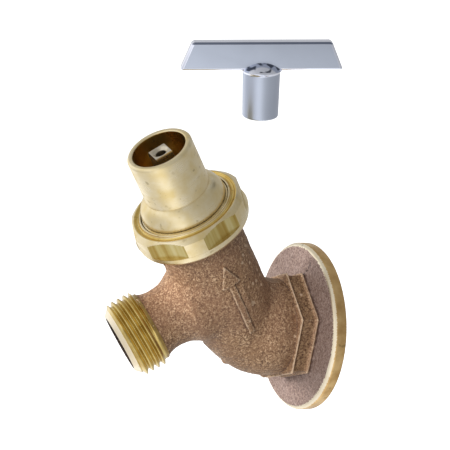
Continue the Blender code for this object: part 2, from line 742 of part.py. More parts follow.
def tee_key(bonnet, chrome):
    """Loose tee key: a tapered socket with a square hole, under a bevelled cross bar."""
    rest, axis, pivot, _ = carry_turn(bonnet)
    hinge = bpy.data.objects.new("key_hinge", None)
    hinge.matrix_world = Matrix.Translation(pivot) @ axis.to_track_quat("Z", "Y").to_matrix().to_4x4()
    bpy.context.scene.collection.objects.link(hinge)
    bpy.context.view_layer.update()
    bar = bmesh.new()
    low = KEY_SOCKET_LENGTH
    high = low + KEY_BAR_HEIGHT
    half = KEY_BAR_THICKNESS / 2
    outline = [(-KEY_BAR_BOTTOM / 2, low), (KEY_BAR_BOTTOM / 2, low), (KEY_BAR_TOP / 2, high),
               (-KEY_BAR_TOP / 2, high)]
    face = bar.faces.new([bar.verts.new((x, -half, z)) for x, z in outline])
    grown = bmesh.ops.extrude_face_region(bar, geom=[face])
    moved = [v for v in grown["geom"] if isinstance(v, bmesh.types.BMVert)]
    bmesh.ops.translate(bar, verts=moved, vec=(0.0, 2 * half, 0.0))
    bmesh.ops.recalc_face_normals(bar, faces=bar.faces)
    bmesh.ops.bevel(
        bar, geom=bar.edges[:], offset=KEY_BAR_BEVEL, segments=2, profile=0.5, affect="EDGES"
    )
    key = place("tee_key", bar, None, chrome)
    dome_radius = (KEY_LIP_RADIUS**2 + KEY_DOME_HEIGHT**2) / (2 * KEY_DOME_HEIGHT)
    dome_edge = math.degrees(math.asin((dome_radius - KEY_DOME_HEIGHT) / dome_radius))
    dome_centre = KEY_SOCKET_LENGTH + KEY_DOME_HEIGHT - dome_radius
    dome = arc(0.0, dome_centre, dome_radius, dome_edge, 90.0, 3)
    socket = [
        (0.0, 0.0),
        (KEY_MOUTH_RADIUS - KEY_MOUTH_ROUND, 0.0),
        (KEY_MOUTH_RADIUS, KEY_MOUTH_ROUND),
        (KEY_NECK_RADIUS, KEY_SOCKET_LENGTH - KEY_LIP_HEIGHT),
        *dome[:-1],
        (0.0, dome[-1][1]),
    ]
    tube = turned("key_socket", socket, None, segments=FINE_SEGMENTS, cutter=True)
    prism = prism_mesh(KEY_SQUARE / math.sqrt(2), 4, -CLEAR, KEY_SOCKET_DEPTH, 45.0)
    hole = place("key_square", prism, None, cutter=True)
    for piece in (key, tube, hole):
        piece.parent = hinge
        piece.matrix_basis = hinge.matrix_world.inverted() @ rest
    combine(key, tube, "UNION")
    combine(key, hole, "DIFFERENCE")
    return key


def build():
    for obj in list(bpy.data.objects):
        bpy.data.objects.remove(obj, do_unlink=True)
    bronze = material("cast_bronze", (0.36, 0.22, 0.13), 0.55)
    brass = material("brass", (0.75, 0.58, 0.27), 0.28)
    steel = material("spring_steel", (0.55, 0.55, 0.57), 0.35)
    chrome = material("chrome", (0.75, 0.76, 0.82), 0.12)
    rubber = material("rubber", (0.02, 0.02, 0.02), 0.8, 0.0)
    graphite = material("graphite", (0.06, 0.06, 0.065), 0.6, 0.0)
    fibre = material("fibre", (0.35, 0.12, 0.07), 0.85, 0.0)

    inlet = axis_frame("inlet_axis", 0.0, 0.0, 90.0)
    bonnet = axis_frame("bonnet_axis", CROSSING_Y, CROSSING_Z, BONNET_LEAN)
    outlet = axis_frame("outlet_axis", CROSSING_Y, CROSSING_Z, OUTLET_LEAN)
    bpy.context.view_layer.update()

    valve_body(inlet, bonnet, outlet, bronze)
    seat_ring(bonnet, brass)
    seat_washer(bonnet, rubber)
    washer_screw(bonnet, brass)
    disc_holder(bonnet, brass)
    retaining_ring(bonnet, steel)
    stem(bonnet, brass)
    bonnet_body(bonnet, brass)
    bonnet_nut(bonnet, brass)
    bonnet_gasket(bonnet, fibre)
    packing_pieces(bonnet, brass, graphite)
    tee_key(bonnet, chrome)


build()
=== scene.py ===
"""Looks of a lockshield hose bib and its loose tee key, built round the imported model.

Lengths are in millimetres until a mesh is made. Three local frames share world X, as in the model:
the inlet frame (z = depth from the wall), the bonnet frame (z = height above the crossing point,
along the stem) and the outlet frame (z = distance from the crossing point, towards the hose).
"""

import json
import math
from itertools import product

import bmesh
import bpy
import numpy as np
from mathutils import Matrix, Vector


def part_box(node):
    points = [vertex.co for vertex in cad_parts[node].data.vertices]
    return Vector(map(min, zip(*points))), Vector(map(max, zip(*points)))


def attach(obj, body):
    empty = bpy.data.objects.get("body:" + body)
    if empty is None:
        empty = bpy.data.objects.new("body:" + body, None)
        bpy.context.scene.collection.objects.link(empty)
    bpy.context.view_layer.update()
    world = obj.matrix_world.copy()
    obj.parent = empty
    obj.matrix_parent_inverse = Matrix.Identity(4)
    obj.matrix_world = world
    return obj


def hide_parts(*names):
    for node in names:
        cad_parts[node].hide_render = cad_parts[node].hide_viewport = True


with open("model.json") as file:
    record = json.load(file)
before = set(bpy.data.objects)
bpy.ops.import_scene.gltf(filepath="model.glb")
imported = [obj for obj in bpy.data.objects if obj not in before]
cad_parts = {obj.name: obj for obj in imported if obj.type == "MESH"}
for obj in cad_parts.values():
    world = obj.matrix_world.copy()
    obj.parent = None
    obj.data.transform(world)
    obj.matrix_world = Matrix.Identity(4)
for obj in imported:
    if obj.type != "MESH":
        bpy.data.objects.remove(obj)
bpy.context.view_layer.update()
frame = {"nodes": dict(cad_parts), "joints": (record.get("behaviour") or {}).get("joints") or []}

# Metres in a millimetre, and the smallest details kept in a thread
MM = 0.001
MERGE_DISTANCE = 0.012
SHORTEST_EDGE = 0.0005

# Edges sharper than these are kept sharp, and the output numbers of two shader nodes
SMOOTH_ANGLE = math.radians(32)
THREAD_ANGLE = math.radians(40)
NUT_ANGLE = math.radians(16)
STEM_ANGLE = math.radians(28)
KEY_ANGLE = math.radians(25)
POINTINESS = 7
DIFFUSE_RAY = 2

# Layout: the stem joint's place and axis, where the stem's, inlet's and outlet's axes cross
STEM_JOINT = next(j for j in frame["joints"] if j["name"] == "stem_turn")
CROSSING = np.array(STEM_JOINT["pos_m"]) / MM
UP = np.array(STEM_JOINT["axis"])
SIDE = np.array((1.0, 0.0, 0.0))
BACK = np.cross(UP, SIDE)

# Casting
FLANGE_RADIUS = 29.1
FLANGE_THICKNESS = 4.9
FLANGE_CHAMFER = 1.3
RIM_FINISH = 1.25
CORNER_FINISH = 0.2
HEX_APOTHEM = 16.5
HEX_TURN = 5.5
HEX_END = 12.3
HEX_LIP_HEIGHT = 0.85
HEX_LIPS = ((HEX_END - 0.45, 0.5), (6.0, 0.55))
INLET_BORE = 10.9
INLET_DEPTH = 14.0
PASSAGE_RADIUS = 8.6
PASSAGE_DEPTH = 20.0
CHAMBER_RADIUS = 11.6
DECK_TOP = -9.0
DECK_BOTTOM = -14.0
DECK_HOLE = 7.7
NECK_RADIUS = 14.45
COLLAR_RADIUS = 15.9
NECK_TOP = 30.8
OUTLET_PASSAGE = 7.9
CAST_END = 27.6

# The casting's skin: lattice step, fillets, parting line, lumps on it, and sand grain as
# (cell size, height, shift of the noise); HASH scatters the noise's values
GRID = 0.42
LATTICE_MARGIN = 1.0
LATTICE_FRONT = 70.0
LATTICE_TOP = 54.0
GLOBE_FILLET = 2.6
THROAT_FILLET = 2.4
HEX_EDGE = 0.5
HEX_FILLET = 0.35
FLANGE_FILLET = 0.9
SEAM_WIDTH = 0.45
SEAM_HEIGHT = 0.22
SEAM_TOP = 24.0
LUMPS = ((7.9, -16.5, -14.6), (2.0, -29.5, -12.4))
LUMP_RADIUS = 1.2
LUMP_FILLET = 0.9
GRAIN = ((1.15, 0.085, (0, 0, 0)), (0.62, 0.05, (40, 0, 0)), (4.3, 0.11, (0, 9, 0)))
HASH = (73856093, 19349663, 83492791, 1274126177)

# Flow arrow, along the neck from the crossing point and across it
ARROW_TAIL = -12.0
ARROW_HEAD = 9.0
ARROW_TIP = 17.5
ARROW_MIDDLE = 1.0
ARROW_HALF_SHAFT = 1.1
ARROW_HALF_HEAD = 3.7
ARROW_HEIGHT = 0.9
ARROW_FILLET = 0.12

# Crack in the flange's face: heights above the inlet's centre, sideways places of its ends
CRACK_HEIGHTS = (19.0, 25.2)
CRACK_SIDEWAYS = (-2.1, 0.6)
CRACK_HALF_WIDTH = 0.22

# Hose thread and outlet
HOSE_CREST = 13.49
HOSE_ROOT = 12.1
HOSE_PITCH = 25.4 / 11.5
HOSE_FOOT = 26.9
HOSE_START = 27.9
HOSE_END = 39.3
HOSE_SHANK = 12.0
HOSE_LIP = 10.35
HOSE_CHAMFER = 1.6
HOSE_BORE = 9.6

# Pipe thread in the inlet
INLET_PITCH = 25.4 / 14
INLET_ROOT = 10.4
INLET_CREST = 9.25
INLET_START = 1.2
INLET_END = 13.0
FACE_INSET = 0.15

# Union nut; the outlines are (radius, height, rounding)
NUT_RADIUS = 19.7
NUT_FLAT = 18.5
NUT_FLAT_START = 29.5
NUT_TURN = 15.0
NUT_CHAMFER_START = 34.5
NUT_CHAMFER_ROWS = 14
NUT_CHAMFER_IN = 0.12
NUT_CHAMFER_UP = 0.10
NUT_SHOULDER = 33.7
NUT_FIT = 0.3
NUT_SKIRT = [(16.9, 26.0, 0.2), (18.0, 26.0, 0.5), (19.3, 27.3, 1.0), (19.45, 29.2, 0.1)]
NUT_SKIRT_INSIDE = 27.0
NUT_COVE = [(17.8, 35.95, 0.25), (17.35, 35.9, 0.2), (16.9, 35.45, 0.4), (16.3, 35.4, 0.4),
            (15.85, 35.9, 0.3), (15.75, 36.45, 0.3)]
COVE_TINT_FROM = 35.0

# Bonnet: skirt inside the neck, bell as part of an ellipse, shield tube, packing box
FOOT_RADIUS = 14.9
FOOT_TOP = 36.35
TUBE_RADIUS = 11.0
TUBE_START = 43.2
SHIELD_RIM = 59.9
SHIELD_BORE = 9.0
SHIELD_FLOOR = 43.4
BORE_TINT_FROM = 40.0
RIM_CHAMFER = 0.7
RIM_INSET = 0.02
BELL_CENTRE = (9.0, 36.5)
BELL_RADII = (5.55, 6.9)
BELL_START = 4.0
BELL_SPAN = 65.0
BELL_STEPS = 12
BONNET_SKIRT = [(5.3, 12.8, 0.1), (5.9, 12.0, 0.1), (11.3, 12.0), (11.3, 31.4, 0.1), (15.9, 31.4),
                (15.9, 33.4)]
PACKING_BOX = [(8.6, SHIELD_FLOOR, 0.1), (8.6, 38.2, 0.1), (6.9, 38.2, 0.1), (6.9, 32.1, 0.1),
               (5.06, 32.1, 0.1), (5.06, 30.1, 0.1), (6.9, 29.7, 0.1), (6.9, 22.0, 0.1),
               (5.3, 22.0, 0.1)]

# Stem: button and neck below its thread, shank and tapped square end above it, (radius, height)
SHANK_RADIUS = 4.76
SQUARE = 6.35
SQUARE_TURN = 4.5
SQUARE_START = 49.0
SQUARE_CHAMFER_START = 58.0
SQUARE_CHAMFER = 0.35
STEM_TOP = 58.6
STEM_PITCH = 2.54
STEM_ROOT = 4.95
STEM_CREST = 6.2
STEM_THREAD_START = 12.0
STEM_THREAD_END = 29.7
HOLE_EDGE = 3.2
AXIS_RADIUS = 0.001
STEM_FOOT = [(AXIS_RADIUS, 6.32), (2.7, 6.32), (2.9, 6.52), (2.9, 8.22), (1.95, 8.32),
             (1.95, 10.92), (STEM_ROOT, 11.8)]
STEM_HEAD = [(SHANK_RADIUS, height) for height in (30.0, 48.8, SQUARE_START, 49.2, 57.6, 57.9)] + [
    (4.5, 58.35), (4.3, 58.5), (4.1, STEM_TOP), (2.75, STEM_TOP), (2.55, 58.52), (1.75, 57.7),
    (1.75, 51.2), (AXIS_RADIUS, 50.4)]

# Tee key; its lean in degrees about X, Y and Z
KEY_BAR_BOTTOM = 52.6
KEY_BAR_TOP = 44.8
KEY_BAR_HEIGHT = 9.3
KEY_BAR_THICKNESS = 4.3
KEY_BEVEL = 0.6
KEY_EDGE = 0.12
KEY_SOCKET_LENGTH = 15.9
KEY_MOUTH_RADIUS = 5.85
KEY_NECK_RADIUS = 6.05
KEY_LIP_RADIUS = 6.6
KEY_LIP_START = 0.9
KEY_LIP_EDGE = 0.25
KEY_DOME_HEIGHT = 2.8
KEY_SQUARE = 6.65
KEY_HOLE_DEPTH = 13.0
CUTTER_OVERLAP = 2.0
KEY_TILT = (9.4, -5.5, 72.4)

# Camera and lights, in metres and degrees
CAMERA_AZIMUTH = 62.05
CAMERA_ELEVATION = 23.63
CAMERA_ROLL = -13.09
CAMERA_PLACE = (0.45893, -0.28401, 0.26605)
CAMERA_LENS = 137.0
CAMERA_SENSOR = 36.0
CAMERA_CLIP = 0.05
FLOOR_HEIGHT = -0.16
FLOOR_SIZE = 6.0
LIGHT_TARGET = (0.0, -0.03, 0.03)
LIGHTS = {  # name: place, size, power
    "soft_left": ((-0.38, -0.92, 0.04), 0.26, 10.5),
    "soft_top": ((0.42, -0.60, 0.36), 0.5, 5.0),
}
# Across the shield as the camera sees it; the surround's tones follow this direction
SWEEP = (0.09, 0.77, 0.63)


def axis_matrix(origin, axis):
    """A frame with X across, Z along the axis, at origin."""
    z = Vector(axis).normalized()
    x = Vector(SIDE)
    y = z.cross(x)
    turn = Matrix((x, y, z)).transposed().to_4x4()
    return Matrix.Translation(Vector(origin)) @ turn


INLET = axis_matrix((0.0, 0.0, 0.0), (0.0, -1.0, 0.0))
BONNET = axis_matrix(CROSSING, UP)
OUTLET = axis_matrix(CROSSING, -BACK)


def new_object(name, data):
    """An object in the scene, on no body."""
    obj = bpy.data.objects.new(name, data)
    bpy.context.scene.collection.objects.link(obj)
    return obj


def loose(name, bm):
    """An object made from a bmesh in millimetres, on no body."""
    bmesh.ops.recalc_face_normals(bm, faces=bm.faces)
    mesh = bpy.data.meshes.new(name)
    bm.to_mesh(mesh)
    bm.free()
    return new_object(name, mesh)


# ---------------------------------------------------------------- turned and threaded shapes


def rounded(points, steps=4):
    """A closed half section with its corners rounded.

    Each point is (radius, z) or (radius, z, rounding). A short straight stretch is kept on both
    sides of each round, so that the shading of the faces beside it stays flat.
    """
    made = []
    count = len(points)
    for i, point in enumerate(points):
        here = np.array(point[:2], float)
        size = point[2] if len(point) > 2 else 0.25
        before = np.array(points[i - 1][:2], float) - here
        after = np.array(points[(i + 1) % count][:2], float) - here
        lengths = np.linalg.norm(before), np.linalg.norm(after)
        if size == 0.0 or here[0] == 0.0 or min(lengths) < 1e-6:
            made.append(tuple(here))
            continue
        reach = min(size, 0.42 * lengths[0], 0.42 * lengths[1])
        hold = reach * 1.12
        first, last = before / lengths[0], after / lengths[1]
        made.append(tuple(here + first * hold))
        for k in range(steps + 1):
            t = k / steps
            blend = (1 - t) ** 2 * first * reach + t**2 * last * reach
            made.append(tuple(here + blend))
        made.append(tuple(here + last * hold))
    return made


def arc(centre_r, centre_z, radius, start, end, steps, rounding=0.0):
    """Points of an arc in a half section, angles in degrees from +radius towards +z."""
    turns = [math.radians(start + (end - start) * i / steps) for i in range(steps + 1)]
    return [
        (centre_r + radius * math.cos(t), centre_z + radius * math.sin(t), rounding) for t in turns
    ]


def spun(section, segments=192, angles=None, limit=None):
    """A closed half section turned about Z; limit(angles, z) may hold the radius in."""
    bm = bmesh.new()
    if angles is None:
        angles = np.arange(segments) * math.tau / segments
    segments = len(angles)
    rows = []
    for r, z in section:
        if r == 0.0:
            rows.append([bm.verts.new((0.0, 0.0, z))] * segments)
            continue
        radius = np.full(segments, r)
        if limit is not None:
            radius = np.minimum(radius, limit(angles, z))
        rows.append(
            [bm.verts.new((q * math.cos(a), q * math.sin(a), z)) for q, a in zip(radius, angles)]
        )
    for low, high in zip(rows, rows[1:] + rows[:1]):
        join_rows(bm, low, high)
    return bm


def join_rows(bm, low, high):
    """A strip of faces between two rings, leaving out corners that fall together."""
    count = len(low)
    for j in range(count):
        k = (j + 1) % count
        corners = []
        for v in (low[j], low[k], high[k], high[j]):
            if v not in corners:
                corners.append(v)
        if len(corners) > 2:
            bm.faces.new(corners)


def threaded(below, above, root, crest, pitch, start, end, shape, segments=144, runout=1.4):
    """A closed turned solid whose outer or inner side has a right-hand thread from start to end.

    below and above are the (radius, z) points before and after the thread. shape lists the
    thread's corners as (share of the pitch, share of the height). The rows follow those corners up
    the helix, so one turn climbs exactly one pitch, and rows past the ends are held there.
    """
    bm = bmesh.new()

    def ring(points):
        turns = [math.tau * j / segments for j in range(segments)]
        return [
            bm.verts.new((r * math.cos(a), r * math.sin(a), z)) for a, (r, z) in zip(turns, points)
        ]

    plain = [ring([p[:2]] * segments) for p in below + [(root, start)]]
    for low, high in zip(plain, plain[1:]):
        join_rows(bm, low, high)
    grid = []
    for turn in range(math.floor(start / pitch) - 2, math.ceil(end / pitch) + 2):
        for share, height in shape:
            row = []
            for j in range(segments):
                z = min(end, max(start, pitch * (turn + share + j / segments)))
                fade = min(1.0, max(0.0, min(z - start, end - z) / runout))
                row.append((root + (crest - root) * height * fade, z))
            grid.append(ring(row))
    step = len(shape)
    for i in range(len(grid) - step - 1):
        low, high = grid[i], grid[i + 1]
        for j in range(segments - 1):
            bm.faces.new((low[j], low[j + 1], high[j + 1], high[j]))
        bm.faces.new((low[-1], grid[i + step][0], grid[i + step + 1][0], high[-1]))
    top = [ring([p[:2]] * segments) for p in [(root, end)] + above]
    for low, high in zip(top, top[1:]):
        join_rows(bm, low, high)
    join_rows(bm, top[-1], plain[0])
    bmesh.ops.remove_doubles(bm, verts=bm.verts, dist=MERGE_DISTANCE)
    bmesh.ops.dissolve_degenerate(bm, dist=SHORTEST_EDGE, edges=bm.edges)
    return bm


def thread_shape(root_flat, crest_flat, soften=0.03, easing=0.07):
    """Corners of one thread as (share of the pitch, share of the height), crest in the middle."""
    foot, crest = root_flat / 2, 0.5 - crest_flat / 2
    half = [(foot - soften, 0.0), (foot + soften, easing), (crest - soften, 1.0 - easing),
            (crest + soften, 1.0)]
    return half + [(1.0 - share, height) for share, height in reversed(half)]


def make_piece(name, bm, matrix, finish, body, nodes, sharp=SMOOTH_ANGLE):
    """Turns a bmesh in millimetres into a piece on a body, in place of the model's nodes."""
    obj = loose(name, bm)
    mesh = obj.data
    mesh.transform(Matrix.Scale(MM, 4) @ matrix)
    mesh.shade_smooth()
    mesh.set_sharp_from_angle(angle=sharp)
    mesh.materials.append(finish)
    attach(obj, body)
    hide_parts(*nodes)
    return obj


def add_finishes(obj, matrix, finishes, choose):
    """More finishes for a piece; choose(radius, height, turn) numbers the one a face takes."""
    for finish in finishes:
        obj.data.materials.append(finish)
    back = matrix.inverted()
    for face in obj.data.polygons:
        middle = back @ (face.center / MM)
        face.material_index = choose(middle.xy.length, middle.z, math.atan2(middle.y, middle.x))


# ---------------------------------------------------------------- the casting as a distance field


def smooth_line(points, steps=6):
    """A Catmull-Rom curve through the points of a half section."""
    p = np.array(points, float)
    ends = np.vstack([2 * p[0] - p[1], p, 2 * p[-1] - p[-2]])
    made = [p[0]]
    for i in range(len(p) - 1):
        a, b, c, d = ends[i : i + 4]
        for k in range(1, steps + 1):
            t = k / steps
            made.append(
                0.5 * (2 * b + (c - a) * t + (2 * a - 5 * b + 4 * c - d) * t**2
                       + (3 * b - a - 3 * c + d) * t**3)
            )
    return np.array(made)


class Profile:
    """Signed distance to a turned solid, read from a fine table of its half section."""

    STEP = 0.2

    def __init__(self, outline):
        line = np.array(outline, float)
        self.low = np.array((0.0, line[:, 1].min() - 8.0))
        size = np.array((40.0, line[:, 1].max() + 8.0)) - self.low
        shape = np.ceil(size / self.STEP).astype(int) + 2
        r, z = np.meshgrid(*[self.low[i] + np.arange(shape[i]) * self.STEP for i in (0, 1)],
                           indexing="ij")
        best = np.full(r.shape, 1e9)
        inside = np.zeros(r.shape, bool)
        for (r0, z0), (r1, z1) in zip(line, line[1:]):
            dr, dz = r1 - r0, z1 - z0
            span = dr * dr + dz * dz
            if span < 1e-12:
                continue
            t = np.clip(((r - r0) * dr + (z - z0) * dz) / span, 0.0, 1.0)
            best = np.minimum(best, np.hypot(r - r0 - t * dr, z - z0 - t * dz))
            if dz != 0.0:
                crosses = ((z0 <= z) & (z < z1)) | ((z1 <= z) & (z < z0))
                inside ^= crosses & (r < r0 + (z - z0) * dr / dz)
        self.table = np.where(inside, -best, best).astype(np.float32)

    def __call__(self, radius, z):
        u = np.clip((radius - self.low[0]) / self.STEP, 0, self.table.shape[0] - 1.001)
        v = np.clip((z - self.low[1]) / self.STEP, 0, self.table.shape[1] - 1.001)
        i, j = u.astype(np.int32), v.astype(np.int32)
        u, v = u - i, v - j
        t = self.table
        return (t[i, j] * (1 - u) + t[i + 1, j] * u) * (1 - v) + (
            t[i, j + 1] * (1 - u) + t[i + 1, j + 1] * u
        ) * v


def smooth_min(a, b, width):
    """Union of two distance fields with a fillet."""
    h = np.clip(0.5 + 0.5 * (b - a) / width, 0.0, 1.0)
    return b + (a - b) * h - width * h * (1 - h)


def lattice_noise(x, y, z):
    """Value noise from -1 to 1 with one cell per unit, the same each run."""
    xi, yi, zi = (np.floor(v).astype(np.int64) for v in (x, y, z))
    xf, yf, zf = x - xi, y - yi, z - zi
    xf, yf, zf = (f * f * (3 - 2 * f) for f in (xf, yf, zf))

    total = 0.0
    for i, j, k in product((0, 1), repeat=3):
        n = (xi + i) * HASH[0] ^ (yi + j) * HASH[1] ^ (zi + k) * HASH[2]
        n = (n ^ (n >> 13)) * HASH[3] & 0x7FFFFFFF
        weight = (xf if i else 1 - xf) * (yf if j else 1 - yf) * (zf if k else 1 - zf)
        total = total + weight * ((n % 20011) / 10005.0 - 1.0)
    return total


BARREL = Profile(
    [(0.0, 4.0), (16.5, 4.0)]
    + smooth_line([(16.0, 4.9), (16.0, 9.0), (16.3, 12.5), (16.9, 16.0), (16.6, 19.5),
                   (15.3, 23.2), (13.2, 27.0), (9.9, 31.0), (5.5, 34.4), (0.0, 36.0)]).tolist()
)
GLOBE = Profile(
    smooth_line([(0.0, -37.0), (5.4, -34.8), (9.2, -29.8), (11.8, -24.2), (13.4, -18.5),
                 (NECK_RADIUS, -11.0), (NECK_RADIUS, -2.0)]).tolist()
    + [(NECK_RADIUS, 26.2), (COLLAR_RADIUS, 27.8), (COLLAR_RADIUS, NECK_TOP), (0.0, NECK_TOP)]
)
THROAT = Profile(
    [(0.0, -4.0)]
    + smooth_line([(14.0, -4.0), (14.1, 6.0), (13.9, 12.6), (12.4, 15.6), (11.0, 18.2),
                   (10.55, 21.2), (10.75, 24.4), (11.5, 26.7), (12.2, CAST_END)]).tolist()
    + [(0.0, CAST_END)]
)
FLANGE = Profile(
    [(0.0, 0.0), (FLANGE_RADIUS - 0.4, 0.0), (FLANGE_RADIUS, 0.4),
     (FLANGE_RADIUS, FLANGE_THICKNESS - FLANGE_CHAMFER),
     (FLANGE_RADIUS - 0.9, FLANGE_THICKNESS - 0.15),
     (FLANGE_RADIUS - 1.5, FLANGE_THICKNESS), (0.0, FLANGE_THICKNESS)]
)
CHAMBER = Profile(
    [(0.0, -27.0), (5.0, -26.0), (7.8, -23.0), (9.0, -19.0), (9.0, DECK_BOTTOM),
     (DECK_HOLE, DECK_BOTTOM), (DECK_HOLE, DECK_TOP), (CHAMBER_RADIUS - 1.0, DECK_TOP),
     (CHAMBER_RADIUS, DECK_TOP + 1.5), (CHAMBER_RADIUS, NECK_TOP + 4.0), (0.0, NECK_TOP + 4.0)]
)
WATERWAY_OUT = Profile(
    [(0.0, 0.0), (OUTLET_PASSAGE, 0.0), (OUTLET_PASSAGE, CAST_END + 4.0), (0.0, CAST_END + 4.0)]
)
WATERWAY_IN = Profile(
    [(0.0, -4.0), (INLET_BORE, -4.0), (INLET_BORE, INLET_DEPTH),
     (PASSAGE_RADIUS, INLET_DEPTH + 1.0), (PASSAGE_RADIUS, PASSAGE_DEPTH), (0.0, PASSAGE_DEPTH)]
)


def flow_arrow(x, along, across, skin):
    """A plain raised arrow on the neck's right-hand side, pointing the way the water rises."""
    across = np.abs(across - ARROW_MIDDLE)
    shaft = np.maximum(
        across - ARROW_HALF_SHAFT,
        np.abs(along - (ARROW_TAIL + ARROW_HEAD) / 2) - (ARROW_HEAD - ARROW_TAIL) / 2,
    )
    slope = ARROW_HALF_HEAD / (ARROW_TIP - ARROW_HEAD)
    wings = (across - (ARROW_TIP - along) * slope) / math.hypot(1.0, slope)
    flat = np.minimum(shaft, np.maximum(wings, ARROW_HEAD - along))
    return np.maximum(np.maximum(flat, skin - ARROW_HEIGHT), -x)


def hexagon_distance(x, z, depth):
    """The wrench hexagon, with a raised lip along its front and its flange side."""
    turns = [math.radians(HEX_TURN + 60.0 * i) for i in range(3)]
    facet = np.max([np.abs(x * math.cos(t) + z * math.sin(t)) for t in turns], axis=0)
    lips = sum(np.exp(-(((depth - middle) / width) ** 2)) for middle, width in HEX_LIPS)
    sides = facet - HEX_APOTHEM - HEX_LIP_HEIGHT * lips
    ends = np.maximum(depth - HEX_END, 2.0 - depth)
    return -smooth_min(-sides, -ends, HEX_EDGE)


def casting_distance(p):
    """Signed distance to the casting."""
    x, y, z = p[:, 0], p[:, 1], p[:, 2]
    depth = -y
    rho = np.hypot(x, z)
    q = p - CROSSING
    rise = q @ UP
    back = q @ BACK
    body = smooth_min(BARREL(rho, depth), GLOBE(np.hypot(x, back), rise), GLOBE_FILLET)
    body = smooth_min(body, THROAT(np.hypot(x, rise), -back), THROAT_FILLET)
    body = smooth_min(body, hexagon_distance(x, z, depth), HEX_FILLET)
    seam = np.exp(-((x / SEAM_WIDTH) ** 2)) * np.clip((depth - HEX_END) / 2.0, 0.0, 1.0)
    body = body - SEAM_HEIGHT * seam * np.clip((SEAM_TOP - rise) / 4.0, 0.0, 1.0)
    for lump in LUMPS:
        away = np.linalg.norm(p - np.array(lump), axis=1)
        body = smooth_min(body, away - LUMP_RADIUS, LUMP_FILLET)
    body = smooth_min(body, flow_arrow(x, rise, back, body), ARROW_FILLET)
    grain = 0.0
    for cell, height, shift in GRAIN:
        grain = grain + height * lattice_noise(*(v / cell + by for v, by in zip((x, y, z), shift)))
    below_nut = np.clip((NECK_TOP - 1.5 - rise) / 1.5, 0.0, 1.0)
    face = np.clip((FLANGE_RADIUS - 1.6 - rho) / 1.0, 0.0, 1.0) * np.clip(depth - 2.0, 0.0, 1.0)
    body = smooth_min(body + grain * below_nut, FLANGE(rho, depth) + grain * face, FLANGE_FILLET)
    body = np.maximum(body, -depth)
    body = np.maximum(body, -CHAMBER(np.hypot(x, back), rise))
    body = np.maximum(body, -WATERWAY_OUT(np.hypot(x, rise), -back))
    return np.maximum(body, -WATERWAY_IN(rho, depth))


def surface_net(distance, low, high, step):
    """The zero surface of a distance field as one quad mesh, a vertex in each cell it crosses."""
    counts = [int(math.ceil((h - b) / step)) + 1 for b, h in zip(low, high)]
    axes = [b + np.arange(n) * step for b, n in zip(low, counts)]
    field = np.empty(counts, np.float32)
    yy, zz = np.meshgrid(axes[1], axes[2], indexing="ij")
    for i, x in enumerate(axes[0]):
        points = np.stack([np.full(yy.size, x), yy.ravel(), zz.ravel()], axis=1)
        field[i] = distance(points).reshape(yy.shape)
    inside = field < 0
    crossing = np.zeros([n - 1 for n in counts], bool)
    corner = [np.s_[:-1], np.s_[1:]]
    first = inside[:-1, :-1, :-1]
    for i, j, k in product(corner, repeat=3):
        crossing |= inside[i, j, k] != first
    cells = np.argwhere(crossing)
    index = np.full(crossing.shape, -1, np.int64)
    index[tuple(cells.T)] = np.arange(len(cells))
    total = np.zeros((len(cells), 3))
    hits = np.zeros(len(cells))
    for axis in range(3):
        others = [a for a in range(3) if a != axis]
        for sides in product((0, 1), repeat=2):
            start = np.zeros(3, int)
            start[others] = sides
            end = start.copy()
            end[axis] = 1
            a = field[tuple((cells + start).T)]
            b = field[tuple((cells + end).T)]
            hit = (a < 0) != (b < 0)
            t = np.where(hit, a / np.where(hit, a - b, 1.0), 0.0)
            total[hit] += (start + np.outer(t, end - start))[hit]
            hits += hit
    points = np.array(low) + (cells + total / hits[:, None]) * step
    faces = []
    for axis in range(3):
        u, v = [(axis + 1) % 3, (axis + 2) % 3]
        ahead = [slice(None)] * 3
        behind = [slice(None)] * 3
        ahead[axis], behind[axis] = slice(1, None), slice(None, -1)
        change = inside[tuple(behind)] != inside[tuple(ahead)]
        edges = np.argwhere(change)
        edges = edges[(edges[:, u] > 0) & (edges[:, v] > 0)]
        du, dv = np.eye(3, dtype=int)[u], np.eye(3, dtype=int)[v]
        quad = np.stack(
            [index[tuple(c.T)] for c in (edges, edges - du, edges - du - dv, edges - dv)], axis=1
        )
        outward = inside[tuple(edges.T)]
        quad[outward] = quad[outward][:, ::-1]
        faces.append(quad[:, ::-1])
    return points, np.vstack(faces)


def relax_to_surface(points, distance, step, rounds=2):
    """Moves points onto the zero surface along its gradient."""
    small = 0.05
    for _ in range(rounds):
        here = distance(points)
        slope = np.empty_like(points)
        for axis in range(3):
            moved = points.copy()
            moved[:, axis] += small
            slope[:, axis] = (distance(moved) - here) / small
        size = np.maximum((slope**2).sum(axis=1), 0.2)
        shift = slope * (here / size)[:, None]
        points = points - np.clip(shift, -step / 2, step / 2)
    return points


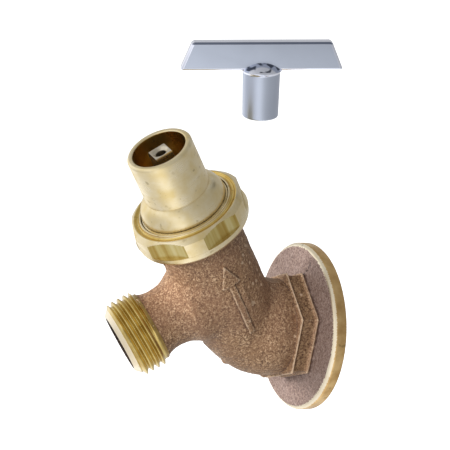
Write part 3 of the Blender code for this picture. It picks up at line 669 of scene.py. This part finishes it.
def casting(finishes):
    """The one-piece sand casting, with its turned rim and faces in their own finishes."""
    reach = FLANGE_RADIUS + LATTICE_MARGIN
    low, high = (-reach, -LATTICE_FRONT, -reach), (reach, LATTICE_MARGIN, LATTICE_TOP)
    points, faces = surface_net(casting_distance, low, high, GRID)
    points = relax_to_surface(points, casting_distance, GRID)
    mesh = bpy.data.meshes.new("valve_casting")
    mesh.vertices.add(len(points))
    mesh.vertices.foreach_set("co", (points * MM).astype(np.float32).ravel())
    mesh.loops.add(faces.size)
    mesh.loops.foreach_set("vertex_index", faces.astype(np.int32).ravel())
    mesh.polygons.add(len(faces))
    mesh.polygons.foreach_set("loop_start", np.arange(0, faces.size, 4, dtype=np.int32))
    middle = points[faces].mean(axis=1)
    rho = np.hypot(middle[:, 0], middle[:, 2])
    on_flange = middle[:, 1] > -FLANGE_THICKNESS - 0.5
    on_back = middle[:, 1] > -0.12
    turned = on_flange & (on_back | (rho > FLANGE_RADIUS - RIM_FINISH))
    chamfer = turned & (rho < FLANGE_RADIUS - CORNER_FINISH) & (middle[:, 1] < -1.0)
    mesh.polygons.foreach_set("material_index", turned.astype(np.int32) + chamfer)
    mesh.update(calc_edges=True)
    mesh.validate()
    mesh.shade_smooth()
    for finish in finishes:
        mesh.materials.append(finish)
    obj = new_object("valve_casting", mesh)
    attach(obj, "valve")
    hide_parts("valve_body")


# ---------------------------------------------------------------- turned pieces


def hose_end(finishes):
    """Machined outlet: a 3/4-11.5 hose thread, a pale chamfered end, a bore in near-black painted
    shade and a darker foot in painted shade.
    """
    sleeve = OUTLET_PASSAGE + 0.05
    chamfer = HOSE_END - HOSE_CHAMFER
    below = [(sleeve, HOSE_START + 0.1), (sleeve, HOSE_FOOT), (HOSE_SHANK, HOSE_FOOT),
             (HOSE_SHANK + 0.05, HOSE_START - 0.15)]
    above = [(HOSE_SHANK, chamfer), (HOSE_SHANK - 0.05, chamfer + 0.1), (HOSE_LIP, HOSE_END),
             (HOSE_BORE + 0.05, HOSE_END), (HOSE_BORE - 0.1, HOSE_END - 0.15),
             (HOSE_BORE - 0.15, HOSE_END - 1.2), (HOSE_BORE, chamfer),
             (HOSE_BORE, HOSE_START + 1.1), (HOSE_BORE - 1.0, HOSE_START + 0.5)]
    bm = threaded(below, above, HOSE_ROOT, HOSE_CREST, HOSE_PITCH, HOSE_START, chamfer - 0.1,
                  thread_shape(0.14, 0.2), runout=0.7)
    obj = make_piece("hose_thread", bm, OUTLET, finishes[0], "valve", ["valve_body"],
                     THREAD_ANGLE)

    def choose(radius, height, turn):
        # The bore takes a near-black finish: painted shade in the deep hole
        if radius < HOSE_BORE + 0.02:
            return 1
        if height > chamfer and radius < HOSE_SHANK + 0.02:
            return 2
        # Below the thread, at its foot by the casting: a darker copy of the outlet brass, painted
        # shade
        return 3 if height < HOSE_START - 0.1 else 0

    add_finishes(obj, OUTLET, finishes[1:], choose)


def inlet_thread(finish):
    """Pipe thread in the back of the flange."""
    outer = INLET_BORE + 0.1
    below = [(outer, INLET_END - 0.4), (outer, FACE_INSET), (INLET_BORE - 0.1, FACE_INSET),
             (INLET_ROOT, INLET_START - 0.2)]
    above = [(INLET_CREST + 0.05, INLET_END + 0.4), (outer, INLET_END + 0.4)]
    bm = threaded(below, above, INLET_ROOT, INLET_CREST, INLET_PITCH, INLET_START, INLET_END,
                  thread_shape(0.12, 0.12), runout=0.5)
    make_piece("inlet_thread", bm, INLET, finish, "valve", ["valve_body"], THREAD_ANGLE)


def from_flat(angles):
    """Angles measured from the middle of the nearest wrench flat."""
    sixth = math.pi / 3
    return (angles - math.radians(NUT_TURN) + sixth / 2) % sixth - sixth / 2


def nut_angles():
    """Angles round the nut that catch the corners of its flats."""
    sixth = math.pi / 3
    edge = math.acos(NUT_FLAT / NUT_RADIUS)
    local = np.concatenate([np.linspace(-edge, edge, 15), np.linspace(edge, sixth - edge, 9)[1:-1]])
    return np.concatenate([math.radians(NUT_TURN) + i * sixth + local for i in range(6)])


def nut_limit(angles, z):
    """Radius allowed by the six milled flats."""
    if z < NUT_FLAT_START:
        return np.full(len(angles), NUT_RADIUS)
    return NUT_FLAT / np.cos(from_flat(angles))


def union_nut(finishes):
    """Union nut: round ring with six milled flats above a ledge, chamfered, with a cove on top."""
    bore = COLLAR_RADIUS + NUT_FIT
    inner = FOOT_RADIUS + NUT_FIT
    chamfer = [(NUT_RADIUS - NUT_CHAMFER_IN * i, NUT_CHAMFER_START + NUT_CHAMFER_UP * i, 0.0)
               for i in range(NUT_CHAMFER_ROWS)]
    section = rounded([
        (bore, NUT_SKIRT_INSIDE), *NUT_SKIRT, (NUT_RADIUS, NUT_FLAT_START - 0.02, 0.0),
        (NUT_RADIUS, NUT_FLAT_START + 0.02, 0.0), *chamfer, *NUT_COVE,
        (inner, NUT_COVE[-1][1], 0.15), (inner, NUT_SHOULDER, 0.1), (bore, NUT_SHOULDER, 0.1),
    ], 8)
    bm = spun(section, angles=nut_angles(), limit=nut_limit)
    obj = make_piece("union_nut", bm, BONNET, finishes[0], "valve", ["bonnet_nut"],
                     NUT_ANGLE)

    def choose(radius, height, turn):
        if height > NUT_FLAT_START and abs(NUT_FLAT - radius * math.cos(from_flat(turn))) < 0.02:
            return 1
        in_cove = NUT_COVE[-2][0] + 0.1 < radius < NUT_COVE[0][0] - 0.05
        return 2 if in_cove and height > COVE_TINT_FROM else 0

    add_finishes(obj, BONNET, finishes[1:], choose)


def shield_bonnet(finishes):
    """Bonnet with its clamped flange, bell and the tube that shields the stem's square."""
    bell = []
    for i in range(BELL_STEPS + 1):
        turn = math.radians(BELL_START + BELL_SPAN * i / BELL_STEPS)
        bell.append((BELL_CENTRE[0] + BELL_RADII[0] * math.cos(turn),
                     BELL_CENTRE[1] + BELL_RADII[1] * math.sin(turn), 0.0))
    rim = SHIELD_RIM - RIM_INSET
    section = rounded([
        *BONNET_SKIRT, (FOOT_RADIUS, BONNET_SKIRT[-1][1], 0.1), (FOOT_RADIUS, FOOT_TOP - 0.2, 0.3),
        (FOOT_RADIUS - 0.4, FOOT_TOP - 0.25, 0.1), *bell,
        (TUBE_RADIUS + 0.05, TUBE_START - 0.25, 0.12),
        (TUBE_RADIUS, SHIELD_RIM - RIM_CHAMFER, 0.35), (TUBE_RADIUS - RIM_CHAMFER, rim, 0.35),
        (SHIELD_BORE, rim, 0.6), (SHIELD_BORE, SHIELD_FLOOR, 0.2), *PACKING_BOX,
    ])
    obj = make_piece("shield_bonnet", spun(section), BONNET, finishes[0], "valve", ["bonnet"])

    def choose(radius, height, turn):
        return int(height > BORE_TINT_FROM and radius < SHIELD_BORE + 0.02)

    add_finishes(obj, BONNET, finishes[1:], choose)


def key_stem(finish):
    """Stem: button, neck, thread, shank and a square end with a countersunk tapped hole."""
    bm = threaded(STEM_FOOT, STEM_HEAD, STEM_ROOT, STEM_CREST, STEM_PITCH, STEM_THREAD_START,
                  STEM_THREAD_END, thread_shape(0.37, 0.37))
    half = SQUARE / 2
    turn = Matrix.Rotation(math.radians(SQUARE_TURN), 3, "Z")
    for vertex in bm.verts:
        if vertex.co.z > SQUARE_START + 0.05 and vertex.co.xy.length > HOLE_EDGE:
            local = turn.transposed() @ vertex.co
            reach = max(abs(local.x), abs(local.y))
            inset = max(0.0, vertex.co.z - SQUARE_CHAMFER_START) * SQUARE_CHAMFER
            local.xy *= min(1.0, (half - inset) / reach)
            vertex.co = turn @ local
    make_piece("key_stem", bm, BONNET, finish, "stem", ["stem"], STEM_ANGLE)


# ---------------------------------------------------------------- tee key


def boolean(target, other, operation):
    """Applies an exact Boolean and removes the other object."""
    modifier = target.modifiers.new(operation, "BOOLEAN")
    modifier.operation = operation
    modifier.solver = "EXACT"
    modifier.object = other
    graph = bpy.context.evaluated_depsgraph_get()
    mesh = bpy.data.meshes.new_from_object(target.evaluated_get(graph))
    target.modifiers.clear()
    target.data = mesh
    bpy.data.objects.remove(other)


def key_bar():
    """The cross bar: a trapezium plate with flat faces and bevelled edges."""
    bm = bmesh.new()
    low, high = KEY_SOCKET_LENGTH, KEY_SOCKET_LENGTH + KEY_BAR_HEIGHT
    half = KEY_BAR_THICKNESS / 2
    outline = [(-KEY_BAR_BOTTOM / 2, low), (KEY_BAR_BOTTOM / 2, low), (KEY_BAR_TOP / 2, high),
               (-KEY_BAR_TOP / 2, high)]
    face = bm.faces.new([bm.verts.new((x, -half, z)) for x, z in outline])
    grown = bmesh.ops.extrude_face_region(bm, geom=[face])
    moved = [v for v in grown["geom"] if isinstance(v, bmesh.types.BMVert)]
    bmesh.ops.translate(bm, verts=moved, vec=(0.0, 2 * half, 0.0))
    bmesh.ops.recalc_face_normals(bm, faces=bm.faces)
    bmesh.ops.bevel(bm, geom=bm.edges[:], offset=KEY_BEVEL, segments=1, profile=0.5, affect="EDGES")
    bmesh.ops.bevel(bm, geom=bm.edges[:], offset=KEY_EDGE, segments=3, profile=0.5, affect="EDGES")
    return loose("tee_key_chrome", bm)


def chrome_key(finishes):
    """Loose tee key with four finishes.

    Its flat faces and tube are satin and its bevels bright, a smoother chrome whose lighter tone is
    painted highlight, with a line of painted shade under the top edge and painted reflections on
    the dome: a light tone with dark patches.
    """
    key = key_bar()
    lip, height = KEY_LIP_RADIUS, KEY_DOME_HEIGHT
    radius = (lip**2 + height**2) / (2 * height)
    edge = math.degrees(math.asin((radius - height) / radius))
    dome = arc(0.0, KEY_SOCKET_LENGTH + height - radius, radius, edge, 90.0, 12)
    section = rounded([
        (0.0, 0.0), (KEY_MOUTH_RADIUS, 0.0, 0.5),
        (KEY_NECK_RADIUS, KEY_SOCKET_LENGTH - KEY_LIP_START, 0.5),
        (lip, KEY_SOCKET_LENGTH - KEY_LIP_EDGE, 0.2), *dome[:-1], (0.0, dome[-1][1]),
    ])
    boolean(key, loose("socket", spun(section, 128)), "UNION")
    square = bmesh.new()
    bmesh.ops.create_cone(
        square, cap_ends=True, segments=4, radius1=KEY_SQUARE / math.sqrt(2),
        radius2=KEY_SQUARE / math.sqrt(2), depth=KEY_HOLE_DEPTH + CUTTER_OVERLAP,
        matrix=Matrix.Translation((0.0, 0.0, (KEY_HOLE_DEPTH - CUTTER_OVERLAP) / 2))
        @ Matrix.Rotation(math.pi / 4, 4, "Z"),
    )
    boolean(key, loose("square", square), "DIFFERENCE")
    tilt_x, tilt_y, heading = (math.radians(a) for a in KEY_TILT)
    turn = (Matrix.Rotation(tilt_x, 4, "X") @ Matrix.Rotation(tilt_y, 4, "Y")
            @ Matrix.Rotation(heading, 4, "Z"))
    mesh = key.data
    slots = []
    for face in mesh.polygons:
        height, normal = face.center.z - KEY_SOCKET_LENGTH, face.normal
        flat = height < -KEY_LIP_START or abs(normal.y) > 0.99
        sloped = 0.2 < abs(normal.y) < 0.98 and normal.z > 0.2
        dome = face.center.xy.length < KEY_LIP_RADIUS - 0.4 and normal.z > 0.3
        if sloped and height > KEY_BAR_HEIGHT - 1.0:
            # The upper bevels take the darkest chrome: a line of painted shade under the top edge
            slots.append(2)
        elif flat:
            slots.append(0)
        else:
            # Bevels, top and ends take the lighter chrome, partly painted highlight; the dome takes
            # its painted reflections
            slots.append(3 if dome and height < KEY_DOME_HEIGHT else 1)
    mesh.transform(Matrix.Scale(MM, 4) @ turn)
    corners = np.array([v.co for v in mesh.vertices])
    low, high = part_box("tee_key")
    shift = (low + high) / 2 - Vector((corners.min(axis=0) + corners.max(axis=0)) / 2)
    mesh.transform(Matrix.Translation(shift))
    mesh.shade_smooth()
    mesh.set_sharp_from_angle(angle=KEY_ANGLE)
    mesh.materials.clear()
    for finish in finishes:
        mesh.materials.append(finish)
    mesh.polygons.foreach_set("material_index", slots)
    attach(key, "key")
    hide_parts("tee_key")


# ---------------------------------------------------------------- materials


class Shader:
    """A Principled material with short calls for adding and linking nodes."""

    def __init__(self, name, **inputs):
        self.material = bpy.data.materials.new(name)
        self.material.use_nodes = True
        self.tree = self.material.node_tree
        self.principled = self.tree.nodes["Principled BSDF"]
        self.feed(self.principled, inputs)

    @classmethod
    def on(cls, tree):
        """The same short calls for another node tree."""
        made = cls.__new__(cls)
        made.tree = tree
        return made

    def feed(self, node, inputs):
        """Sets or links inputs by name, or by number after an underscore."""
        for key, value in inputs.items():
            socket = node.inputs[int(key[1:]) if key[0] == "_" else key.replace("_", " ")]
            if isinstance(value, bpy.types.NodeSocket):
                self.tree.links.new(value, socket)
            else:
                socket.default_value = value

    def add(self, kind, settings=None, out=0, **inputs):
        """A new node, fed; gives the output with the number out."""
        node = self.tree.nodes.new("ShaderNode" + kind)
        for key, value in (settings or {}).items():
            setattr(node, key, value)
        self.feed(node, inputs)
        return node.outputs[out]

    def place(self):
        """Object coordinates, in metres."""
        return self.add("TexCoord", out=3)

    def noise(self, vector, scale, detail=2.0, roughness=0.5):
        return self.add("TexNoise", Vector=vector, Scale=scale, Detail=detail, Roughness=roughness)

    def ramp(self, value, *stops):
        """A colour ramp through (position, colour) stops; a number stands for a grey.

        The ramp's first and last stops come first, and the stops between them after.
        """
        node = self.tree.nodes.new("ShaderNodeValToRGB")
        ramp = node.color_ramp
        for i, (position, colour) in enumerate(stops):
            point = ramp.elements[i] if i < 2 else ramp.elements.new(position)
            point.position = position
            colour = (colour,) * 3 if isinstance(colour, float) else colour
            point.color = (*colour, 1.0)
        self.tree.links.new(value, node.inputs[0])
        return node.outputs[0]

    def mix(self, factor, a, b):
        """Blend of two colours."""
        node = self.tree.nodes.new("ShaderNodeMix")
        node.data_type = "RGBA"
        for socket, value in ((node.inputs[0], factor), (node.inputs[6], a), (node.inputs[7], b)):
            if isinstance(value, bpy.types.NodeSocket):
                self.tree.links.new(value, socket)
            elif isinstance(value, tuple):
                socket.default_value = (*value, 1.0)
            else:
                socket.default_value = value
        return node.outputs[2]

    def math(self, operation, a, b=0.0, c=0.0):
        return self.add("Math", {"operation": operation}, _0=a, _1=b, _2=c)

    def vector(self, operation, a, b=None, out=0):
        inputs = {"_0": a}
        if b is not None:
            inputs["_1"] = b
        return self.add("VectorMath", {"operation": operation}, out=out, **inputs)

    def fade(self, value, start, end, first, last):
        """Goes from first to last as a value goes from start to end."""
        return self.add("MapRange", _0=value, _1=start, _2=end, _3=first, _4=last)

    def along(self, vector, axis, share=1.0):
        """The part of a vector that lies along an axis, or a share of it, and its length."""
        length = self.vector("DOT_PRODUCT", vector, axis, out=1)
        shared = length if share == 1.0 else self.math("MULTIPLY", length, share)
        return self.add("VectorMath", {"operation": "SCALE"}, _0=axis, Scale=shared), length

    def round_about(self, matrix):
        """Radius from an axis and height along it, as a vector in metres."""
        origin = tuple(Vector(matrix.translation) * MM)
        axis = tuple(matrix.to_3x3() @ Vector((0, 0, 1)))
        offset = self.vector("SUBTRACT", self.place(), origin)
        part, height = self.along(offset, axis)
        radius = self.vector("LENGTH", self.vector("SUBTRACT", offset, part), out=1)
        return self.add("CombineXYZ", _0=radius, _1=height, _2=0.0)

    def bump(self, height, strength, distance, normal=None):
        """Relief of a height, on top of an earlier relief if one is given."""
        inputs = {"Height": height, "Strength": strength, "Distance": distance}
        if normal is not None:
            inputs["Normal"] = normal
        return self.add("Bump", **inputs)

    def finish(self, **inputs):
        """Feeds the Principled node and gives the material."""
        self.feed(self.principled, inputs)
        return self.material


def crack_mark(s, place, x, z):
    """A broken dark line across the skin of the flange's face, 1 in the crack and 0 beside it."""
    low, high = (height * MM for height in CRACK_HEIGHTS)
    left, right = (side * MM for side in CRACK_SIDEWAYS)
    along = s.fade(z, low, high, left, right)
    jag = s.math("MULTIPLY_ADD", s.noise(place, 900.0, 1.0), 3.0 * MM, -1.5 * MM)
    off = s.math("ABSOLUTE", s.math("SUBTRACT", s.math("ADD", x, jag), along))
    crack = s.fade(off, CRACK_HALF_WIDTH * MM, 0.4 * MM, 1.0, 0.0)
    crack = s.math("MULTIPLY", crack, s.math("GREATER_THAN", z, low - 0.5 * MM))
    crack = s.math("MULTIPLY", crack, s.math("LESS_THAN", z, high))
    return s.math("MULTIPLY", crack, s.math("GREATER_THAN", s.noise(place, 1300.0), 0.46))


def cast_bronze():
    """Blasted sand casting: tan grains over brown, pinker on the flange's cracked face, with
    painted highlight on raised edges and painted shade in hollows.
    """
    s = Shader("cast_bronze", Metallic=0.25)
    place = s.place()
    x, y, z = (s.add("SeparateXYZ", out=i, _0=place) for i in range(3))
    grains = s.noise(place, 1050.0, 2.0, 0.75)
    fine = s.noise(place, 2100.0, 1.0)
    blotches = s.noise(place, 260.0, 3.0, 0.6)
    broad = s.noise(place, 55.0, 2.0)
    speckle = s.math("MULTIPLY_ADD", fine, 0.35, s.math("MULTIPLY", grains, 0.65))
    colour = s.ramp(speckle, (0.36, (0.115, 0.058, 0.028)), (0.66, (0.84, 0.60, 0.38)),
                    (0.50, (0.34, 0.195, 0.102)), (0.58, (0.54, 0.345, 0.195)))
    colour = s.mix(s.ramp(blotches, (0.35, 0.0), (0.7, 0.5)), colour, (0.37, 0.21, 0.115))
    colour = s.mix(s.ramp(broad, (0.35, 0.0), (0.65, 0.3)), colour, (0.31, 0.165, 0.11))
    flats = s.math("MULTIPLY", s.fade(y, -11.5 * MM, -10.9 * MM, 0.0, 0.6),
                   s.fade(y, -7.2 * MM, -6.6 * MM, 1.0, 0.0))
    dark_skin = s.ramp(speckle, (0.36, (0.055, 0.025, 0.010)), (0.66, (0.40, 0.25, 0.13)))
    colour = s.mix(flats, colour, dark_skin)
    near_wall = s.fade(y, -5.6 * MM, -5.1 * MM, 0.0, 1.0)
    pink_skin = s.ramp(speckle, (0.36, (0.17, 0.105, 0.085)), (0.66, (0.44, 0.325, 0.275)))
    colour = s.mix(near_wall, colour, pink_skin)
    colour = s.mix(crack_mark(s, place, x, z), colour, (0.035, 0.018, 0.014))
    shape = s.add("NewGeometry", out=POINTINESS)
    # Painted highlight: raised edges off the flange face, found by pointiness, are lightened
    # towards pale tan
    raised = s.math("MULTIPLY", s.ramp(shape, (0.527, 0.0), (0.562, 0.85)),
                    s.math("SUBTRACT", 1.0, near_wall))
    colour = s.mix(raised, colour, (0.76, 0.56, 0.38))
    # Painted shade: hollows and creases, found by low pointiness, are darkened towards near-black
    # brown
    colour = s.mix(s.ramp(shape, (0.43, 0.85), (0.485, 0.0)), colour, (0.075, 0.035, 0.022))
    rough = s.ramp(blotches, (0.3, 0.5), (0.7, 0.7))
    normal = s.bump(grains, 0.7, 0.3 * MM)
    normal = s.bump(s.noise(place, 420.0, 2.0), 0.4, 0.4 * MM, normal)
    return s.finish(Base_Color=colour, Roughness=rough, Normal=normal)


def brass(name, matrix, light, dark, roughness, marks):
    """Lathe-turned brass: fine rings round the axis, faint stains and a little wear."""
    s = Shader(name, Metallic=1.0)
    place = s.place()
    rings = s.round_about(matrix)
    fine = s.noise(rings, 5200.0, 3.0, 0.6)
    coarse = s.noise(rings, 900.0, 2.0)
    cloud = s.noise(place, 170.0, 3.0, 0.55)
    stain = s.ramp(s.noise(place, 420.0, 2.0), (0.66, 0.0), (0.76, 0.55))
    colour = s.mix(s.ramp(cloud, (0.35, 0.0), (0.7, 1.0)), light, dark)
    colour = s.mix(s.ramp(coarse, (0.3, 0.0), (0.7, 0.25)), colour, dark)
    colour = s.mix(stain, colour, tuple(0.45 * c for c in dark))
    rough = s.math("MULTIPLY_ADD", cloud, 0.16, roughness - 0.08)
    rough = s.math("MULTIPLY_ADD", fine, 0.10, s.math("SUBTRACT", rough, 0.05))
    normal = s.bump(fine, marks, 0.06 * MM)
    normal = s.bump(s.noise(place, 130.0), 0.05, 0.6 * MM, normal)
    return s.finish(Base_Color=colour, Roughness=rough, Normal=normal)


def milled_brass():
    """Wrench flats: darker olive gold with streaks along the nut's axis."""
    s = Shader("milled_brass", Metallic=1.0)
    axis = tuple(BONNET.to_3x3() @ Vector((0, 0, 1)))
    place = s.place()
    part = s.along(place, axis, 0.95)[0]
    streaks = s.noise(s.vector("SUBTRACT", place, part), 380.0, 3.0, 0.5)
    colour = s.ramp(streaks, (0.34, (0.42, 0.27, 0.06)), (0.66, (0.70, 0.60, 0.30)),
                    (0.50, (0.58, 0.46, 0.17)))
    rough = s.ramp(streaks, (0.3, 0.42), (0.7, 0.3))
    return s.finish(Base_Color=colour, Roughness=rough, Normal=s.bump(streaks, 0.15, 0.1 * MM))


def chrome(name, roughness, tone, dark):
    """Plated key: a faint orange peel and hazy patches, with dark patches of painted reflection if
    dark is above 0.
    """
    s = Shader(name, Metallic=1.0)
    place = s.place()
    haze = s.noise(place, 95.0, 3.0)
    peel = s.noise(place, 900.0, 1.0)
    colour = s.mix(s.ramp(haze, (0.3, 0.0), (0.7, 1.0)), tuple(0.93 * c for c in tone), tone)
    if dark:
        # Dark patches of painted reflection: mirrored dark surroundings painted into the colour
        marks = s.ramp(s.noise(place, 330.0, 1.0), (0.54, 0.0), (0.60, dark))
        colour = s.mix(marks, colour, (0.05, 0.06, 0.09))
    rough = s.math("MULTIPLY_ADD", haze, 0.08, roughness - 0.04)
    return s.finish(Base_Color=colour, Roughness=rough, Normal=s.bump(peel, 0.05, 0.05 * MM))


def steel():
    """Spring steel: cloudy grey."""
    s = Shader("spring_steel", Metallic=1.0)
    place = s.place()
    cloud = s.noise(place, 500.0, 3.0)
    colour = s.mix(cloud, (0.30, 0.30, 0.32), (0.52, 0.52, 0.54))
    return s.finish(Base_Color=colour, Roughness=s.ramp(cloud, (0.2, 0.25), (0.8, 0.45)),
                    Normal=s.bump(s.noise(place, 2500.0), 0.1, 0.05 * MM))


def soft_solid(name, dark, light, scale, roughness, bump):
    """Rubber, graphite or fibre: matt, with grains of two tones."""
    s = Shader(name, Metallic=0.0)
    place = s.place()
    grains = s.noise(place, scale, 4.0, 0.6)
    colour = s.mix(s.ramp(grains, (0.35, 0.0), (0.65, 1.0)), dark, light)
    rough = s.math("MULTIPLY_ADD", grains, 0.2, roughness - 0.1)
    return s.finish(Base_Color=colour, Roughness=rough, Normal=s.bump(grains, bump, 0.1 * MM))


# ---------------------------------------------------------------- stage


def area_light(name, place, size, power):
    """Square soft box aimed at the valve, which lights it but isn't mirrored in it."""
    data = bpy.data.lights.new(name, "AREA")
    data.shape = "RECTANGLE"
    data.size = data.size_y = size
    data.energy = power
    obj = new_object(name, data)
    obj.location = place
    aim = Vector(LIGHT_TARGET) - Vector(place)
    obj.rotation_euler = aim.to_track_quat("-Z", "Y").to_euler()
    obj.visible_glossy = False


def studio():
    """Pale floor, soft boxes and a pale surround."""
    bm = bmesh.new()
    bmesh.ops.create_grid(bm, x_segments=1, y_segments=1, size=FLOOR_SIZE)
    floor = loose("floor", bm)
    floor.location = (0.0, 0.0, FLOOR_HEIGHT)
    s = Shader("floor", Roughness=0.9, Metallic=0.0)
    s.finish(Base_Color=(0.93, 0.93, 0.94, 1.0), Emission_Color=(1.0, 1.0, 1.0, 1.0),
             Emission_Strength=1.0)
    floor.data.materials.append(s.material)
    floor.visible_glossy = False
    floor.visible_diffuse = False
    for name, (place, size, power) in LIGHTS.items():
        area_light(name, place, size, power)
    surround()


def surround():
    """World with a bright band for the turned brass to mirror, and less light on matt skin."""
    world = bpy.data.worlds.new("surround")
    bpy.context.scene.world = world
    world.use_nodes = True
    s = Shader.on(world.node_tree)
    toward = s.add("TexCoord")
    across = s.math("MULTIPLY_ADD", s.vector("DOT_PRODUCT", toward, SWEEP, out=1), 0.5, 0.5)
    colour = s.ramp(across, (0.05, (0.55, 0.55, 0.56)), (0.95, 0.34), (0.14, (0.75, 0.75, 0.76)),
                    (0.21, 0.88), (0.31, 0.86), (0.42, 0.58), (0.60, 0.44))
    rise = s.add("SeparateXYZ", out=2, _0=toward)
    strength = s.math("MULTIPLY_ADD", rise, -0.15, 1.32)
    matt = s.math("MULTIPLY_ADD", s.add("LightPath", out=DIFFUSE_RAY), -0.60, 1.0)
    background = world.node_tree.nodes["Background"]
    s.feed(background, {"Color": colour, "Strength": s.math("MULTIPLY", strength, matt)})


def camera():
    """Three-quarter view from the valve's right front, above, with a slight roll."""
    azimuth, elevation, roll = (
        math.radians(a) for a in (CAMERA_AZIMUTH, CAMERA_ELEVATION, CAMERA_ROLL)
    )
    back = Vector((math.sin(azimuth) * math.cos(elevation),
                   -math.cos(azimuth) * math.cos(elevation), math.sin(elevation)))
    right = Vector((math.cos(azimuth), math.sin(azimuth), 0.0))
    up = back.cross(right)
    x = right * math.cos(roll) - up * math.sin(roll)
    y = right * math.sin(roll) + up * math.cos(roll)
    turn = Matrix((x, y, back)).transposed().to_4x4()
    data = bpy.data.cameras.new("camera")
    data.lens = CAMERA_LENS
    data.sensor_width = CAMERA_SENSOR
    data.clip_start = CAMERA_CLIP
    obj = new_object("camera", data)
    obj.matrix_world = Matrix.Translation(CAMERA_PLACE) @ turn
    bpy.context.scene.camera = obj


# ---------------------------------------------------------------- build


# Brass: frame of its turning marks, light tone, dark tone, roughness, depth of the marks
PALE, GOLD = (0.86, 0.76, 0.54), (0.72, 0.57, 0.28)
BRASS = {
    "rim_brass": (INLET, (0.80, 0.56, 0.26), (0.50, 0.30, 0.11), 0.34, 0.12),
    "chamfer_brass": (INLET, (0.95, 0.86, 0.68), (0.88, 0.76, 0.55), 0.4, 0.12),
    "outlet_brass": (OUTLET, (0.76, 0.60, 0.24), (0.50, 0.34, 0.09), 0.22, 0.12),
    # The thread's foot by the casting: a darker copy of the outlet brass, painted shade
    "root_brass": (OUTLET, (0.50, 0.34, 0.12), (0.28, 0.17, 0.05), 0.35, 0.12),
    "nut_brass": (BONNET, PALE, GOLD, 0.3, 0.2),
    "cove_brass": (BONNET, (0.80, 0.60, 0.22), (0.62, 0.42, 0.10), 0.3, 0.12),
    "bonnet_brass": (BONNET, PALE, (0.74, 0.59, 0.29), 0.3, 0.12),
    "bore_brass": (BONNET, (0.84, 0.60, 0.22), (0.66, 0.42, 0.10), 0.3, 0.12),
    "stem_brass": (BONNET, (0.74, 0.68, 0.56), (0.52, 0.45, 0.33), 0.3, 0.12),
    "inner_brass": (BONNET, PALE, GOLD, 0.35, 0.12),
}

# Chrome: roughness, tone, strength of its dark patches of painted reflection; the lighter tones are
# partly painted highlight, the shaded tone painted shade
CHROME = {
    "satin_chrome": (0.34, (0.54, 0.59, 0.70), 0.0),
    "bright_chrome": (0.12, (0.86, 0.89, 1.0), 0.0),
    "shaded_chrome": (0.3, (0.22, 0.25, 0.34), 0.0),
    "dome_chrome": (0.1, (0.82, 0.85, 0.96), 0.9),
}

# Matt finishes: dark tone, light tone, scale of the grains, roughness, relief
MATT = {
    # The hose bore's near-black finish is painted shade
    "waterway": ((0.012, 0.008, 0.006), (0.05, 0.03, 0.02), 900.0, 0.6, 0.3),
    "rubber": ((0.012, 0.012, 0.012), (0.03, 0.03, 0.03), 1500.0, 0.8, 0.2),
    "graphite": ((0.03, 0.03, 0.032), (0.10, 0.10, 0.105), 2600.0, 0.55, 0.3),
    "fibre": ((0.22, 0.07, 0.04), (0.42, 0.17, 0.10), 1800.0, 0.85, 0.4),
}

# The finish of each model node that keeps its own mesh; the rest are inner_brass
KEPT_NODES = {
    "retaining_ring": "spring_steel",
    "seat_washer": "rubber",
    "packing_ring_lower": "graphite",
    "packing_ring_upper": "graphite",
    "bonnet_gasket": "fibre",
}


def main():
    """Camera, stage and every piece, and finishes for the model's nodes that keep their mesh."""
    bpy.context.scene.view_settings.view_transform = "Standard"
    camera()
    studio()
    look = {"cast_bronze": cast_bronze(), "milled_brass": milled_brass(), "spring_steel": steel()}
    for make, table in ((brass, BRASS), (chrome, CHROME), (soft_solid, MATT)):
        look.update({name: make(name, *values) for name, values in table.items()})
    casting([look["cast_bronze"], look["rim_brass"], look["chamfer_brass"]])
    hose_end([look["outlet_brass"], look["waterway"], look["chamfer_brass"], look["root_brass"]])
    inlet_thread(look["rim_brass"])
    union_nut([look["nut_brass"], look["milled_brass"], look["cove_brass"]])
    shield_bonnet([look["bonnet_brass"], look["bore_brass"]])
    key_stem(look["stem_brass"])
    chrome_key([look[name] for name in CHROME])
    for name, node in frame["nodes"].items():
        if not node.hide_render:
            node.data.materials.clear()
            node.data.materials.append(look[KEPT_NODES.get(name, "inner_brass")])


main()
